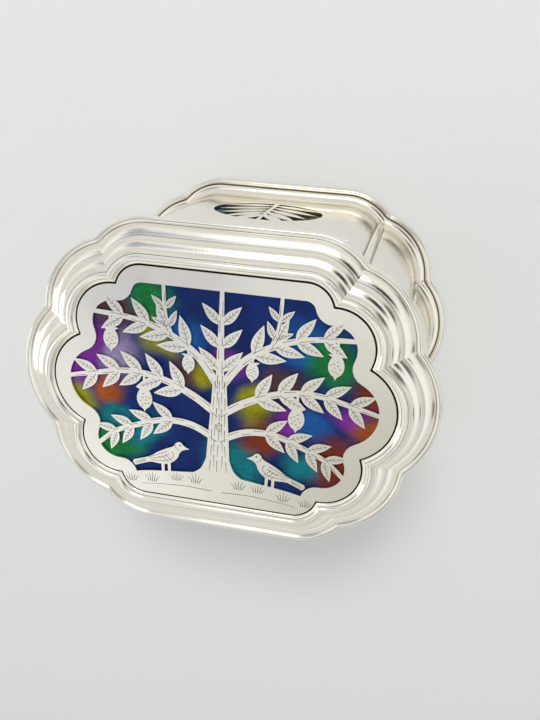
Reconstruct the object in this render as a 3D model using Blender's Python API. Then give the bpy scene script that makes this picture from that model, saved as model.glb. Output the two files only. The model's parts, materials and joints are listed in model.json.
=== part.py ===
"""Etrog box: a lobed silver box with a hinged, moulded lid around a pierced plate.

Metres, +Z up. The box stands on its foot with the lid closed. The origin is at the
middle of the underside, the long axis is X, the front is -Y and the hinge is at +Y.
"""

import math

import bmesh
import bpy
from mathutils import Vector
from mathutils.geometry import delaunay_2d_cdt

# Outline of the lid's flat plate, which every moulding and wall follows at an offset
PLATE_LENGTH = 0.1204
PLATE_WIDTH = 0.0848
CORNER_LOBE_RADIUS = 0.0136
CORNER_LOBE_FROM_END = 0.0230
CORNER_LOBE_FROM_SIDE = 0.0207
CORNER_LOBE_START = math.radians(-23.8)
CORNER_LOBE_END = math.radians(94.2)
SIDE_LOBE_RADIUS = 0.0091

# Rounding of the hollow corners between the lobes
SHARP_CUSP = 0.0004
WALL_CUSP = 0.0028
RIM_CUSP = 0.0046

# Body
BODY_HEIGHT = 0.0950
WALL_OFFSET = 0.0094
WALL_THICKNESS = 0.0009
FLOOR_THICKNESS = 0.0012
FLOOR_LIFT = 0.0020
CORNER_FILLET = 0.0005

# Moulded foot
FOOT_PROJECTION = 0.0064
FOOT_BEAD_RADIUS = 0.0012
FOOT_FLAT_WIDTH = 0.0020
FOOT_GROOVE_DEPTH = 0.0003
FOOT_LEDGE_WIDTH = 0.0019
FOOT_LEDGE_RISE = 0.0010
FOOT_COVE_HEIGHT = 0.0034
COVE_RUN_SHARE = 0.6
COVE_RISE_SHARE = 0.25

# Lid plate and the sheets under it
PLATE_THICKNESS = 0.0010
PLATE_GAP = 0.0015
PLATE_BORDER = 0.0056
COLOUR_SHEET_THICKNESS = 0.0006
COLOUR_SHEET_LAP = 0.0036
BACK_PLATE_THICKNESS = 0.0008

# Lid moulding, from the plate outwards and down
LIP_WIDTH = 0.0024
LIP_RISE = 0.0016
LIP_QUIRK_DROP = 0.0011
# Where the lip turns down: shares of its width and of its drop
LIP_TURN = (0.9, 0.3)
OGEE_WIDTH = 0.0050
OGEE_FALL = 0.0039
# Share by which its ends are steeper and its middle flatter than a straight fall
OGEE_BEND = 0.55
STEP_WIDTH = 0.0003
STEP_FALL = 0.0006
BAND_WIDTH = 0.0035
BAND_FALL = 0.0019
BAND_CROWN = 0.0003
RIM_BEAD_RADIUS = 0.0011
RIM_BEAD_STAND = 0.0005
RIM_BEAD_OVERLAP = 0.0001
FLANGE_OVERHANG = 0.0020
LID_GAUGE = 0.0010

# Hinge
HINGE_LENGTH = 0.0760
KNUCKLE_COUNT = 5
KNUCKLE_RADIUS = 0.0015
PIN_RADIUS = 0.00055
LEAF_THICKNESS = 0.0008
LEAF_HEIGHT = 0.0060
LID_LEAF_WIDTH = 0.0030
LID_LEAF_FROM_WALL = 0.0004

# Pierced windows in the long walls
WINDOW_HALF_WIDTH = 0.0215
WINDOW_HALF_HEIGHT = 0.0185
WINDOW_CENTRE_HEIGHT = 0.0365
WINDOW_STEM_HALF_WIDTH = 0.0009
WINDOW_LEAF_WIDTH = 0.0042
WINDOW_LEAF_PAIRS = 5
# Lowest and highest leaf: foot as a share of the half height, and angle in degrees
WINDOW_LEAF_FEET = (-0.95, 0.50)
WINDOW_LEAF_ANGLES = (12, 62)
# How far stem and leaves reach, as a share of the way to the oval's edge
WINDOW_STEM_REACH = 1.1
WINDOW_LEAF_REACH = 1.06
WINDOW_SHEET_LAP = 0.0025
WINDOW_SHEET_THICKNESS = 0.0006

# Tree of the pierced plate. Its left half is mirrored. Places are shares of the plate's half
# length and half width, and sizes are shares of its half width.
UPPER_BRANCH = ((0.0, 0.07), (-0.13, 0.32), (-0.30, 0.48), (-0.50, 0.57), (-0.76, 0.60))
MIDDLE_BRANCH = ((0.0, -0.17), (-0.16, -0.02), (-0.35, 0.09), (-0.55, 0.12), (-0.77, 0.06), (-0.95, 0.0))
LOWER_BRANCH = ((0.0, -0.40), (-0.16, -0.29), (-0.33, -0.28), (-0.50, -0.36), (-0.64, -0.45), (-0.76, -0.60))
TWIG = ((-0.28, 0.46), (-0.32, 0.64), (-0.33, 0.93))
LEADER = ((0.0, 0.10), (0.0, 0.35), (0.0, 0.61), (0.0, 0.93))
TRUNK = ((0.0, -0.93), (0.0, -0.70), (0.0, -0.40), (0.0, -0.14), (0.0, 0.15))
MOUND = ((0.01, -0.73), (-0.23, -0.75), (-0.45, -0.79), (-0.58, -0.84), (-0.55, -0.93), (0.01, -0.93))
# Width at the foot and at the tip
UPPER_TAPER = (0.072, 0.036)
MIDDLE_TAPER = (0.072, 0.034)
LOWER_TAPER = (0.066, 0.036)
TWIG_TAPER = (0.034, 0.028)
LEADER_TAPER = (0.075, 0.030)
TRUNK_TAPER = (0.25, 0.11)
# Pairs of leaves, share of the branch at the first and last pair, length, width, angle in degrees
UPPER_LEAVES = (4, 0.34, 0.81, 0.29, 0.105, 42)
MIDDLE_LEAVES = (5, 0.26, 0.77, 0.28, 0.105, 42)
LOWER_LEAVES = (4, 0.34, 0.78, 0.25, 0.095, 44)
TWIG_LEAVES = (2, 0.26, 0.58, 0.17, 0.062, 48)
LEADER_LEAVES = (3, 0.18, 0.66, 0.27, 0.096, 48)
LEAF_TAPER = 0.25
# Place of each fruit, its length and the height of its stem's top
CITRONS = ((-0.185, 0.25, 0.14, 0.42), (-0.45, -0.11, 0.18, 0.12), (-0.645, 0.38, 0.17, 0.60))
DOVE = (-0.33, -0.765, 0.40)

# Clearance between pieces that touch or slide
GAP = 0.0003

# Facets
END_STEPS = 4
CORNER_STEPS = 6
SIDE_STEPS = 3
CUSP_STEPS = 2
ROUND_SIDES = 12
RIM_BEAD_TURNS = (115, 45, -25)
LEAF_STEPS = 3
MOTIF_SIDES = 8
WINDOW_SIDES = 24
WEB_EPSILON = 1e-5
MM = 0.001


# Scene and materials


def clear_scene():
    """Removes whatever the startup file holds."""
    for obj in list(bpy.data.objects):
        bpy.data.objects.remove(obj, do_unlink=True)


def new_collection(name):
    collection = bpy.data.collections.new(name)
    bpy.context.scene.collection.children.link(collection)
    return collection


def metal(name, colour, roughness):
    material = bpy.data.materials.new(name)
    material.use_nodes = True
    shader = material.node_tree.nodes["Principled BSDF"]
    shader.inputs["Base Color"].default_value = (*colour, 1.0)
    shader.inputs["Metallic"].default_value = 1.0
    shader.inputs["Roughness"].default_value = roughness
    return material


def place(obj, collection, material):
    """Puts an object in its collection with its material."""
    for old in list(obj.users_collection):
        old.objects.unlink(obj)
    collection.objects.link(obj)
    obj.data.materials.clear()
    obj.data.materials.append(material)
    return obj


def smooth(obj, angle=math.radians(35)):
    obj.data.shade_smooth()
    obj.data.set_sharp_from_angle(angle=angle)
    return obj


def make_cutter(obj, cutters):
    for old in list(obj.users_collection):
        old.objects.unlink(obj)
    cutters.objects.link(obj)
    obj.hide_render = True
    obj.display_type = "WIRE"
    return obj


def boolean(obj, operation, other, name):
    modifier = obj.modifiers.new(name, "BOOLEAN")
    modifier.operation = operation
    modifier.solver = "EXACT"
    modifier.object = other


# Lobed outline


def polar(centre, radius, angle):
    return Vector((centre.x + radius * math.cos(angle), centre.y + radius * math.sin(angle)))


def heading(start, end):
    return math.atan2(end.y - start.y, end.x - start.x)


def outer_meeting(centre_a, radius_a, centre_b, radius_b):
    """The point farther from the origin where two circles cross."""
    line = centre_b - centre_a
    distance = line.length
    along = (distance**2 + radius_a**2 - radius_b**2) / (2 * distance)
    across = math.sqrt(max(radius_a**2 - along**2, 0.0))
    line.normalize()
    foot = centre_a + line * along
    side = Vector((-line.y, line.x)) * across
    return max(foot + side, foot - side, key=lambda point: point.length)


def lobe_circles():
    """Centre and radius of the end, corner and side lobes of one quarter of the plate."""
    half_length = PLATE_LENGTH / 2
    half_width = PLATE_WIDTH / 2
    corner = Vector((half_length - CORNER_LOBE_FROM_END, half_width - CORNER_LOBE_FROM_SIDE))
    near_end = polar(corner, CORNER_LOBE_RADIUS, CORNER_LOBE_START)
    near_side = polar(corner, CORNER_LOBE_RADIUS, CORNER_LOBE_END)
    # The end lobe touches the plate's end and passes through the first cusp.
    end_x = (half_length**2 - near_end.length_squared) / (2 * (half_length - near_end.x))
    # The side lobe touches the long side and passes through the second cusp.
    rise = near_side.y - half_width + SIDE_LOBE_RADIUS
    side_x = near_side.x - math.sqrt(max(SIDE_LOBE_RADIUS**2 - rise**2, 0.0))
    return (
        (Vector((end_x, 0.0)), half_length - end_x),
        (corner, CORNER_LOBE_RADIUS),
        (Vector((side_x, half_width - SIDE_LOBE_RADIUS)), SIDE_LOBE_RADIUS),
    )


def arc(centre, radius, start, end, steps):
    """Points along an arc, its first and last points included."""
    return [polar(centre, radius, start + (end - start) * i / steps) for i in range(steps + 1)]


def quarter_outline(offset, cusp):
    """One quarter of the outline from the +X axis to the end of the long side."""
    (end, end_r), (corner, corner_r), (side, side_r) = lobe_circles()
    end_r, corner_r, side_r = end_r + offset, corner_r + offset, side_r + offset
    first = outer_meeting(end, end_r + cusp, corner, corner_r + cusp)
    second = outer_meeting(corner, corner_r + cusp, side, side_r + cusp)
    points = arc(end, end_r, 0.0, heading(end, first), END_STEPS)
    points += hollow(first, cusp, end, corner)
    points += arc(corner, corner_r, heading(corner, first), heading(corner, second), CORNER_STEPS)
    points += hollow(second, cusp, corner, side)
    points += arc(side, side_r, heading(side, second), math.pi / 2, SIDE_STEPS)
    return points


def hollow(centre, radius, before, after):
    """Inner points of the small hollow arc between two lobes."""
    start = heading(centre, before)
    end = heading(centre, after)
    sweep = (end - start + math.pi) % math.tau - math.pi
    return arc(centre, radius, start, start + sweep, CUSP_STEPS)[1:-1]


def outline(offset, cusp):
    """The whole outline, anticlockwise seen from above."""
    quarter = quarter_outline(offset, cusp)
    left = [Vector((-p.x, p.y)) for p in reversed(quarter)]
    lower_left = [Vector((-p.x, -p.y)) for p in quarter[1:]]
    lower_right = [Vector((p.x, -p.y)) for p in reversed(quarter[1:])]
    return quarter + left + lower_left + lower_right


# Meshes


def object_from(bm, name):
    bmesh.ops.recalc_face_normals(bm, faces=bm.faces)
    mesh = bpy.data.meshes.new(name)
    bm.to_mesh(mesh)
    bm.free()
    obj = bpy.data.objects.new(name, mesh)
    bpy.context.scene.collection.objects.link(obj)
    return obj


def loft(name, profile, closed):
    """Joins outlines at each (offset, height, cusp) of a profile; caps the ends if it is open."""
    bm = bmesh.new()
    rings = []
    for offset, height, cusp in profile:
        rings.append([bm.verts.new((p.x, p.y, height)) for p in outline(offset, cusp)])
    count = len(rings[0])
    pairs = list(zip(rings, rings[1:]))
    if closed:
        pairs.append((rings[-1], rings[0]))
    for lower, upper in pairs:
        for i in range(count):
            j = (i + 1) % count
            bm.faces.new((lower[i], lower[j], upper[j], upper[i]))
    if not closed:
        bm.faces.new(rings[0])
        bm.faces.new(rings[-1])
    return object_from(bm, name)


def cylinder(name, radius, length, x, y, z, sides=ROUND_SIDES):
    """A round bar along X."""
    bpy.ops.mesh.primitive_cylinder_add(
        vertices=sides, radius=radius, depth=length, location=(x, y, z), rotation=(0, math.pi / 2, 0)
    )
    obj = bpy.context.object
    obj.name = name
    return obj


def box(name, low, high):
    """A block between two corners."""
    bm = bmesh.new()
    bmesh.ops.create_cube(bm, size=1.0)
    size = [h - l for l, h in zip(low, high)]
    middle = [(h + l) / 2 for l, h in zip(low, high)]
    bmesh.ops.scale(bm, vec=size, verts=bm.verts)
    bmesh.ops.translate(bm, vec=middle, verts=bm.verts)
    return object_from(bm, name)


# Flat pierced work, drawn in millimetres


def web_faces(shapes, keep):
    """Triangles of the plane that keep() wants, given the shapes that each one lies in."""
    points = []
    faces = []
    for shape in shapes:
        start = len(points)
        points += [Vector((p[0], p[1])) for p in shape]
        faces.append(list(range(start, start + len(shape))))
    found = delaunay_2d_cdt(points, [], faces, 1, WEB_EPSILON)
    corners, triangles, inside = found[0], found[2], found[5]
    wanted = [t for t, shapes_in in zip(triangles, inside) if keep(set(shapes_in))]
    return corners, wanted


def web_object(name, shapes, keep, bottom, thickness):
    """A flat sheet of the wanted triangles, lying from bottom upwards."""
    corners, triangles = web_faces(shapes, keep)
    bm = bmesh.new()
    verts = {}
    for triangle in triangles:
        for i in triangle:
            if i not in verts:
                verts[i] = bm.verts.new((corners[i].x * MM, corners[i].y * MM, bottom))
        bm.faces.new([verts[i] for i in triangle])
    lifted = bmesh.ops.extrude_face_region(bm, geom=bm.faces[:])
    top = [item for item in lifted["geom"] if isinstance(item, bmesh.types.BMVert)]
    bmesh.ops.translate(bm, vec=(0, 0, thickness), verts=top)
    return object_from(bm, name)


def turned(points, x, y, angle):
    c, s = math.cos(angle), math.sin(angle)
    return [(x + u * c - v * s, y + u * s + v * c) for u, v in points]


def mirrored(shape):
    return [(-x, y) for x, y in reversed(shape)]


def leaf(x, y, angle, length, width):
    """A pointed leaf from its foot at (x, y), angle in degrees from +X."""
    upper = []
    for i in range(1, LEAF_STEPS):
        share = i / LEAF_STEPS
        upper.append((length * share, width / 2 * math.sin(math.pi * share**0.8)))
    lower = [(u, -v) for u, v in reversed(upper)]
    return turned([(0, 0)] + lower[::-1] + [(length, 0)] + upper[::-1], x, y, math.radians(angle))


def ellipse(x, y, half_length, half_width, angle, sides=MOTIF_SIDES):
    ring = []
    for i in range(sides):
        a = math.tau * i / sides
        ring.append((half_length * math.cos(a), half_width * math.sin(a)))
    return turned(ring, x, y, math.radians(angle))


def branch(route, start_width, end_width):
    """A tapering stem along a route of points."""
    left, right = [], []
    for i, (x, y) in enumerate(route):
        ahead = route[min(i + 1, len(route) - 1)]
        behind = route[max(i - 1, 0)]
        angle = math.atan2(ahead[1] - behind[1], ahead[0] - behind[0])
        half = (start_width + (end_width - start_width) * i / (len(route) - 1)) / 2
        left.append((x - half * math.sin(angle), y + half * math.cos(angle)))
        right.append((x + half * math.sin(angle), y - half * math.cos(angle)))
    return right + left[::-1]


def along(route, share):
    """Place and heading in degrees at a share of a route's points."""
    place_on = share * (len(route) - 1)
    i = min(int(place_on), len(route) - 2)
    (ax, ay), (bx, by) = route[i], route[i + 1]
    t = place_on - i
    return ax + (bx - ax) * t, ay + (by - ay) * t, math.degrees(math.atan2(by - ay, bx - ax))


def leafy(route, pairs, first, last, length, width, spread):
    """Pairs of leaves along a route, shorter towards its tip."""
    leaves = []
    for i in range(pairs):
        share = first + (last - first) * i / max(pairs - 1, 1)
        x, y, angle = along(route, share)
        size = 1.0 - LEAF_TAPER * share
        for side in (1, -1):
            leaves.append(leaf(x, y, angle + side * spread, length * size, width * size))
    return leaves


def citron(x, y, size, stem_top):
    """A hanging citron: an oval fruit with a tip below and a stem above."""
    fruit = ellipse(x, y, 0.50 * size, 0.37 * size, 90)
    tip = [(x - 0.14 * size, y - 0.42 * size), (x, y - 0.66 * size), (x + 0.14 * size, y - 0.42 * size)]
    stem = branch([(x, y + 0.40 * size), (x, stem_top)], 0.12 * size, 0.12 * size)
    return [fruit, tip, stem]


def dove(x, y, size):
    """A standing dove that faces +X, with its feet at (x, y)."""
    body = ellipse(x, y + 0.36 * size, 0.34 * size, 0.18 * size, 24)
    head = ellipse(x + 0.33 * size, y + 0.62 * size, 0.115 * size, 0.105 * size, 0)
    neck = branch(
        [(x + 0.14 * size, y + 0.42 * size), (x + 0.32 * size, y + 0.60 * size)], 0.24 * size, 0.14 * size
    )
    beak = [
        (x + 0.42 * size, y + 0.57 * size),
        (x + 0.54 * size, y + 0.60 * size),
        (x + 0.42 * size, y + 0.67 * size),
    ]
    tail = branch(
        [(x - 0.18 * size, y + 0.30 * size), (x - 0.66 * size, y + 0.10 * size)], 0.20 * size, 0.13 * size
    )
    legs = [
        branch([(x + dx * size, y + 0.28 * size), (x + dx * size, y - 0.08 * size)], 0.06 * size, 0.06 * size)
        for dx in (-0.04, 0.10)
    ]
    return [body, head, neck, beak, tail] + legs


def plate_motifs():
    """Silver shapes of the tree, birds and fruit: the left half, its mirror and the middle."""
    wide, high = PLATE_LENGTH / 2 / MM, PLATE_WIDTH / 2 / MM

    def bough(route, taper, leaves):
        placed = [(x * wide, y * high) for x, y in route]
        pairs, first, last, length, width, spread = leaves
        shapes = [branch(placed, taper[0] * high, taper[1] * high)]
        return shapes + leafy(placed, pairs, first, last, length * high, width * high, spread)

    shapes = bough(UPPER_BRANCH, UPPER_TAPER, UPPER_LEAVES)
    shapes += bough(MIDDLE_BRANCH, MIDDLE_TAPER, MIDDLE_LEAVES)
    shapes += bough(LOWER_BRANCH, LOWER_TAPER, LOWER_LEAVES)
    shapes += bough(TWIG, TWIG_TAPER, TWIG_LEAVES)
    for x, y, size, stem_top in CITRONS:
        shapes += citron(x * wide, y * high, size * high, stem_top * high)
    shapes += dove(DOVE[0] * wide, DOVE[1] * high, DOVE[2] * high)
    shapes.append([(x * wide, y * high) for x, y in MOUND])
    shapes += [mirrored(shape) for shape in shapes]
    trunk = [(x * wide, y * high) for x, y in TRUNK]
    shapes.append(branch(trunk, TRUNK_TAPER[0] * high, TRUNK_TAPER[1] * high))
    return shapes + bough(LEADER, LEADER_TAPER, LEADER_LEAVES)


def window_motifs():
    """Silver stem and leaves of the wall window; the leaves reach into its rim."""
    wide, high = WINDOW_HALF_WIDTH / MM, WINDOW_HALF_HEIGHT / MM
    stem_width = 2 * WINDOW_STEM_HALF_WIDTH / MM
    stem_end = WINDOW_STEM_REACH * high
    shapes = [branch([(0, -stem_end), (0, stem_end)], stem_width, stem_width)]
    low_foot, high_foot = WINDOW_LEAF_FEET
    low_angle, high_angle = WINDOW_LEAF_ANGLES
    for i in range(WINDOW_LEAF_PAIRS):
        share = (i + 0.5) / WINDOW_LEAF_PAIRS
        foot = high * (low_foot + (high_foot - low_foot) * share)
        angle = low_angle + (high_angle - low_angle) * share
        reach = math.hypot(wide * math.cos(math.radians(angle)), high * math.sin(math.radians(angle)))
        shapes.append(leaf(0, foot, angle, WINDOW_LEAF_REACH * reach, WINDOW_LEAF_WIDTH / MM))
    return shapes + [mirrored(shape) for shape in shapes[1:]]


# Heights that follow from the driving sizes


def lid_underside():
    return BODY_HEIGHT + GAP


def plate_top():
    """Height of the plate's face: the lid's underside plus the fall of its moulding."""
    return lid_underside() + 2 * RIM_BEAD_RADIUS - RIM_BEAD_STAND - band_end()[1]


def quirk():
    """Offset and drop of the small line between the lip and the ogee."""
    return PLATE_GAP + LIP_WIDTH, LIP_RISE - LIP_QUIRK_DROP


def ogee_end():
    offset, level = quirk()
    return offset + OGEE_WIDTH, level - OGEE_FALL


def band_start():
    offset, level = ogee_end()
    return offset + STEP_WIDTH, level - STEP_FALL


def band_end():
    """Groove between the band and the rim bead, from the plate's edge and face."""
    offset, level = band_start()
    return offset + BAND_WIDTH, level - BAND_FALL


def rim_reach():
    """Offset of the rim bead's outermost line."""
    return band_end()[0] + 2 * RIM_BEAD_RADIUS - RIM_BEAD_OVERLAP


def back_plate_levels():
    top = plate_top() - PLATE_THICKNESS - GAP - COLOUR_SHEET_THICKNESS - GAP
    return top - BACK_PLATE_THICKNESS, top


def hollow_slope():
    """Two points of the moulding's inner face: at the plate's underside and half down the ogee."""
    quirk_offset, quirk_level = quirk()
    seat = (quirk_offset + LID_GAUGE, -PLATE_THICKNESS)
    shoulder = (quirk_offset + OGEE_WIDTH / 2, quirk_level - OGEE_FALL / 2 - LID_GAUGE)
    return seat, shoulder


def back_plate_reach():
    """Offset of the back plate's edge, which fits against the moulding's sloping inner face."""
    (seat_offset, seat_level), (shoulder_offset, shoulder_level) = hollow_slope()
    top = back_plate_levels()[1] - plate_top()
    run = shoulder_offset - seat_offset
    fall = seat_level - shoulder_level
    face = seat_offset + run * (seat_level - top) / fall
    # The gap is square to the sloping face.
    return face - GAP * math.hypot(run, fall) / fall


def flange_reach():
    """Offset of the inner edge of the flange that rests on the wall."""
    return WALL_OFFSET - WALL_THICKNESS - FLANGE_OVERHANG


# Pieces


def make_body(parts, silver, cutters):
    """Lobed shell on its moulded foot, open at the top, pierced front and back."""
    foot_reach = WALL_OFFSET + FOOT_PROJECTION
    bead = foot_reach - FOOT_BEAD_RADIUS
    ledge = WALL_OFFSET + FOOT_LEDGE_WIDTH
    cove = ledge - COVE_RUN_SHARE * FOOT_LEDGE_WIDTH
    bead_top = 2 * FOOT_BEAD_RADIUS
    ledge_top = bead_top + FOOT_LEDGE_RISE
    slant = FOOT_BEAD_RADIUS * math.sqrt(0.5)
    wall_foot = ledge_top + FOOT_COVE_HEIGHT
    inside = WALL_OFFSET - WALL_THICKNESS
    floor_top = FLOOR_LIFT + FLOOR_THICKNESS
    foot_inner = bead - FOOT_FLAT_WIDTH
    inner_cusp_radius = WALL_CUSP + WALL_THICKNESS
    profile = [
        (foot_inner - CORNER_FILLET, FLOOR_LIFT, RIM_CUSP),
        (foot_inner, 0.0, RIM_CUSP),
        (bead, 0.0, RIM_CUSP),
        (bead + slant, FOOT_BEAD_RADIUS - slant, RIM_CUSP),
        (foot_reach, FOOT_BEAD_RADIUS, RIM_CUSP),
        (bead + slant, FOOT_BEAD_RADIUS + slant, RIM_CUSP),
        (bead, bead_top, RIM_CUSP),
        (bead - FOOT_BEAD_RADIUS, bead_top - FOOT_GROOVE_DEPTH, RIM_CUSP),
        (ledge, ledge_top, WALL_CUSP),
        (cove, ledge_top + COVE_RISE_SHARE * FOOT_COVE_HEIGHT, WALL_CUSP),
        (WALL_OFFSET, wall_foot, WALL_CUSP),
        (WALL_OFFSET, BODY_HEIGHT, WALL_CUSP),
        (inside, BODY_HEIGHT, inner_cusp_radius),
        (inside, floor_top + CORNER_FILLET, inner_cusp_radius),
        (inside - CORNER_FILLET, floor_top, inner_cusp_radius),
    ]
    body = smooth(place(loft("body", profile, closed=False), parts, silver))
    wide, high = WINDOW_HALF_WIDTH / MM, WINDOW_HALF_HEIGHT / MM
    shapes = [ellipse(0, 0, wide, high, 0, sides=WINDOW_SIDES)] + window_motifs()
    through = PLATE_WIDTH + 4 * WALL_OFFSET
    holes = web_object("window_cutter", shapes, lambda inside: inside == {0}, -through / 2, through)
    holes.rotation_euler = (math.pi / 2, 0, 0)
    holes.location.z = WINDOW_CENTRE_HEIGHT
    make_cutter(holes, cutters)
    boolean(body, "DIFFERENCE", holes, "windows")
    return body


def make_window_sheets(parts, colour):
    """Coloured sheets behind the two pierced windows."""
    wall_inside = PLATE_WIDTH / 2 + WALL_OFFSET - WALL_THICKNESS
    half_width = WINDOW_HALF_WIDTH + WINDOW_SHEET_LAP
    half_height = WINDOW_HALF_HEIGHT + WINDOW_SHEET_LAP
    for name, side in (("back_window_sheet", 1), ("front_window_sheet", -1)):
        faces = sorted(side * (wall_inside - GAP - depth) for depth in (0.0, WINDOW_SHEET_THICKNESS))
        low = (-half_width, faces[0], WINDOW_CENTRE_HEIGHT - half_height)
        high = (half_width, faces[1], WINDOW_CENTRE_HEIGHT + half_height)
        low = (low[0], low[1], max(low[2], FLOOR_LIFT + FLOOR_THICKNESS + CORNER_FILLET + GAP))
        place(box(name, low, high), parts, colour)


def lid_profile():
    """Closed section of the lid's moulding as (offset, height, cusp rounding)."""
    face = plate_top()
    quirk_offset, quirk_level = quirk()
    ogee_offset, ogee_level = ogee_end()
    band_offset, band_level = band_start()
    groove_offset, groove_level = band_end()
    seat, shoulder = hollow_slope()
    lip_middle = PLATE_GAP + LIP_WIDTH / 2
    bead = rim_reach() - RIM_BEAD_RADIUS
    bead_level = lid_underside() + RIM_BEAD_RADIUS - face
    top = [
        (PLATE_GAP, -PLATE_THICKNESS, SHARP_CUSP),
        (PLATE_GAP, LIP_RISE - LIP_WIDTH / 2, SHARP_CUSP),
        (lip_middle, LIP_RISE, SHARP_CUSP),
        (PLATE_GAP + LIP_TURN[0] * LIP_WIDTH, LIP_RISE - LIP_TURN[1] * LIP_QUIRK_DROP, SHARP_CUSP),
        (quirk_offset, quirk_level, SHARP_CUSP),
    ]
    for share in (1 / 3, 2 / 3):
        fall = OGEE_FALL * (share + OGEE_BEND * math.sin(math.tau * share) / math.tau)
        top.append((quirk_offset + OGEE_WIDTH * share, quirk_level - fall, SHARP_CUSP))
    top += [
        (ogee_offset, ogee_level, SHARP_CUSP),
        (band_offset, band_level, SHARP_CUSP),
        (band_offset + BAND_WIDTH / 2, (band_level + groove_level) / 2 + BAND_CROWN, WALL_CUSP / 2),
        (groove_offset, groove_level, WALL_CUSP),
    ]
    for degrees in RIM_BEAD_TURNS:
        turn = math.radians(degrees)
        reach = bead + RIM_BEAD_RADIUS * math.cos(turn)
        top.append((reach, bead_level + RIM_BEAD_RADIUS * math.sin(turn), RIM_CUSP))
    under = lid_underside() - face
    flange_top = under + LID_GAUGE
    hollow_end = groove_offset - LID_GAUGE
    top += [
        (bead, under, RIM_CUSP),
        (flange_reach(), under, SHARP_CUSP),
        (flange_reach(), flange_top, SHARP_CUSP),
        (hollow_end, flange_top, WALL_CUSP),
        (hollow_end, groove_level, WALL_CUSP),
        (ogee_offset - LID_GAUGE / 2, band_level - LID_GAUGE, SHARP_CUSP),
        (*shoulder, SHARP_CUSP),
        (*seat, SHARP_CUSP),
    ]
    return [(offset, level + face, cusp) for offset, level, cusp in top]


def make_lid(parts, silver, colour):
    """Moulded frame, pierced plate, coloured sheet and back plate."""
    frame = loft("lid_frame", lid_profile(), closed=True)
    smooth(place(frame, parts, silver))
    rim = [(p.x / MM, p.y / MM) for p in outline(0.0, SHARP_CUSP)]
    field = [(p.x / MM, p.y / MM) for p in outline(-PLATE_BORDER, SHARP_CUSP + PLATE_BORDER)]
    shapes = [rim, field] + plate_motifs()
    bottom = plate_top() - PLATE_THICKNESS
    plate = web_object(
        "lid_plate", shapes, lambda inside: 0 in inside and inside != {0, 1}, bottom, PLATE_THICKNESS
    )
    place(plate, parts, silver)
    sheet_top = bottom - GAP
    sheet_profile = [
        (COLOUR_SHEET_LAP, sheet_top - COLOUR_SHEET_THICKNESS, SHARP_CUSP),
        (COLOUR_SHEET_LAP, sheet_top, SHARP_CUSP),
    ]
    place(loft("lid_colour_sheet", sheet_profile, closed=False), parts, colour)
    low, high = back_plate_levels()
    back_profile = [(back_plate_reach(), low, SHARP_CUSP), (back_plate_reach(), high, SHARP_CUSP)]
    place(loft("lid_back_plate", back_profile, closed=False), parts, silver)


def hinge_axis():
    """Y and Z of the hinge pin, behind the wall and under the lid's rim."""
    wall = PLATE_WIDTH / 2 + WALL_OFFSET
    return wall + GAP + KNUCKLE_RADIUS, BODY_HEIGHT - LEAF_THICKNESS - KNUCKLE_RADIUS / 2


def knuckle_spans():
    """X ranges of the knuckles, a gap apart, from left to right."""
    pitch = (HINGE_LENGTH + GAP) / KNUCKLE_COUNT
    start = -HINGE_LENGTH / 2
    return [(start + i * pitch, start + (i + 1) * pitch - GAP) for i in range(KNUCKLE_COUNT)]


def make_hinge_half(name, leaf_low, leaf_high, own, others, parts, silver, cutters, pivot):
    """One leaf with its knuckles, cut clear of the other half's knuckles and of the pin."""
    axis_y, axis_z = hinge_axis()
    half = box(name, leaf_low, leaf_high)
    for start, end in own:
        knuckle = cylinder(name + "_knuckle", KNUCKLE_RADIUS, end - start, (start + end) / 2, axis_y, axis_z)
        make_cutter(knuckle, cutters)
        boolean(half, "UNION", knuckle, "knuckle")
    for start, end in others:
        length = end - start + 2 * GAP
        room = cylinder(
            name + "_room", KNUCKLE_RADIUS + GAP, length, (start + end) / 2, axis_y, axis_z, 2 * ROUND_SIDES
        )
        make_cutter(room, cutters)
        boolean(half, "DIFFERENCE", room, "room")
    bore = cylinder(name + "_bore", PIN_RADIUS + GAP, HINGE_LENGTH + 4 * GAP, 0, axis_y, axis_z)
    make_cutter(bore, cutters)
    boolean(half, "DIFFERENCE", bore, "bore")
    place(half, parts, silver)
    half.parent = pivot
    half.matrix_parent_inverse = pivot.matrix_world.inverted() if pivot else half.matrix_parent_inverse
    return half


def make_hinge(parts, silver, cutters, pivot):
    """Two leaves and the pin, along the back of the box."""
    axis_y, axis_z = hinge_axis()
    spans = knuckle_spans()
    body_spans, lid_spans = spans[0::2], spans[1::2]
    wall = PLATE_WIDTH / 2 + WALL_OFFSET
    half = HINGE_LENGTH / 2
    body_low = (-half, wall + GAP, axis_z - LEAF_HEIGHT)
    body_high = (half, wall + GAP + LEAF_THICKNESS, axis_z)
    make_hinge_half("body_hinge", body_low, body_high, body_spans, lid_spans, parts, silver, cutters, None)
    leaf_top = lid_underside() - GAP
    lid_low = (-half, wall + LID_LEAF_FROM_WALL, leaf_top - LEAF_THICKNESS)
    lid_high = (half, wall + LID_LEAF_FROM_WALL + LID_LEAF_WIDTH, leaf_top)
    make_hinge_half("lid_hinge", lid_low, lid_high, lid_spans, body_spans, parts, silver, cutters, pivot)
    pin = cylinder("hinge_pin", PIN_RADIUS, HINGE_LENGTH + 2 * GAP, 0, axis_y, axis_z)
    smooth(place(pin, parts, silver))


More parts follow.
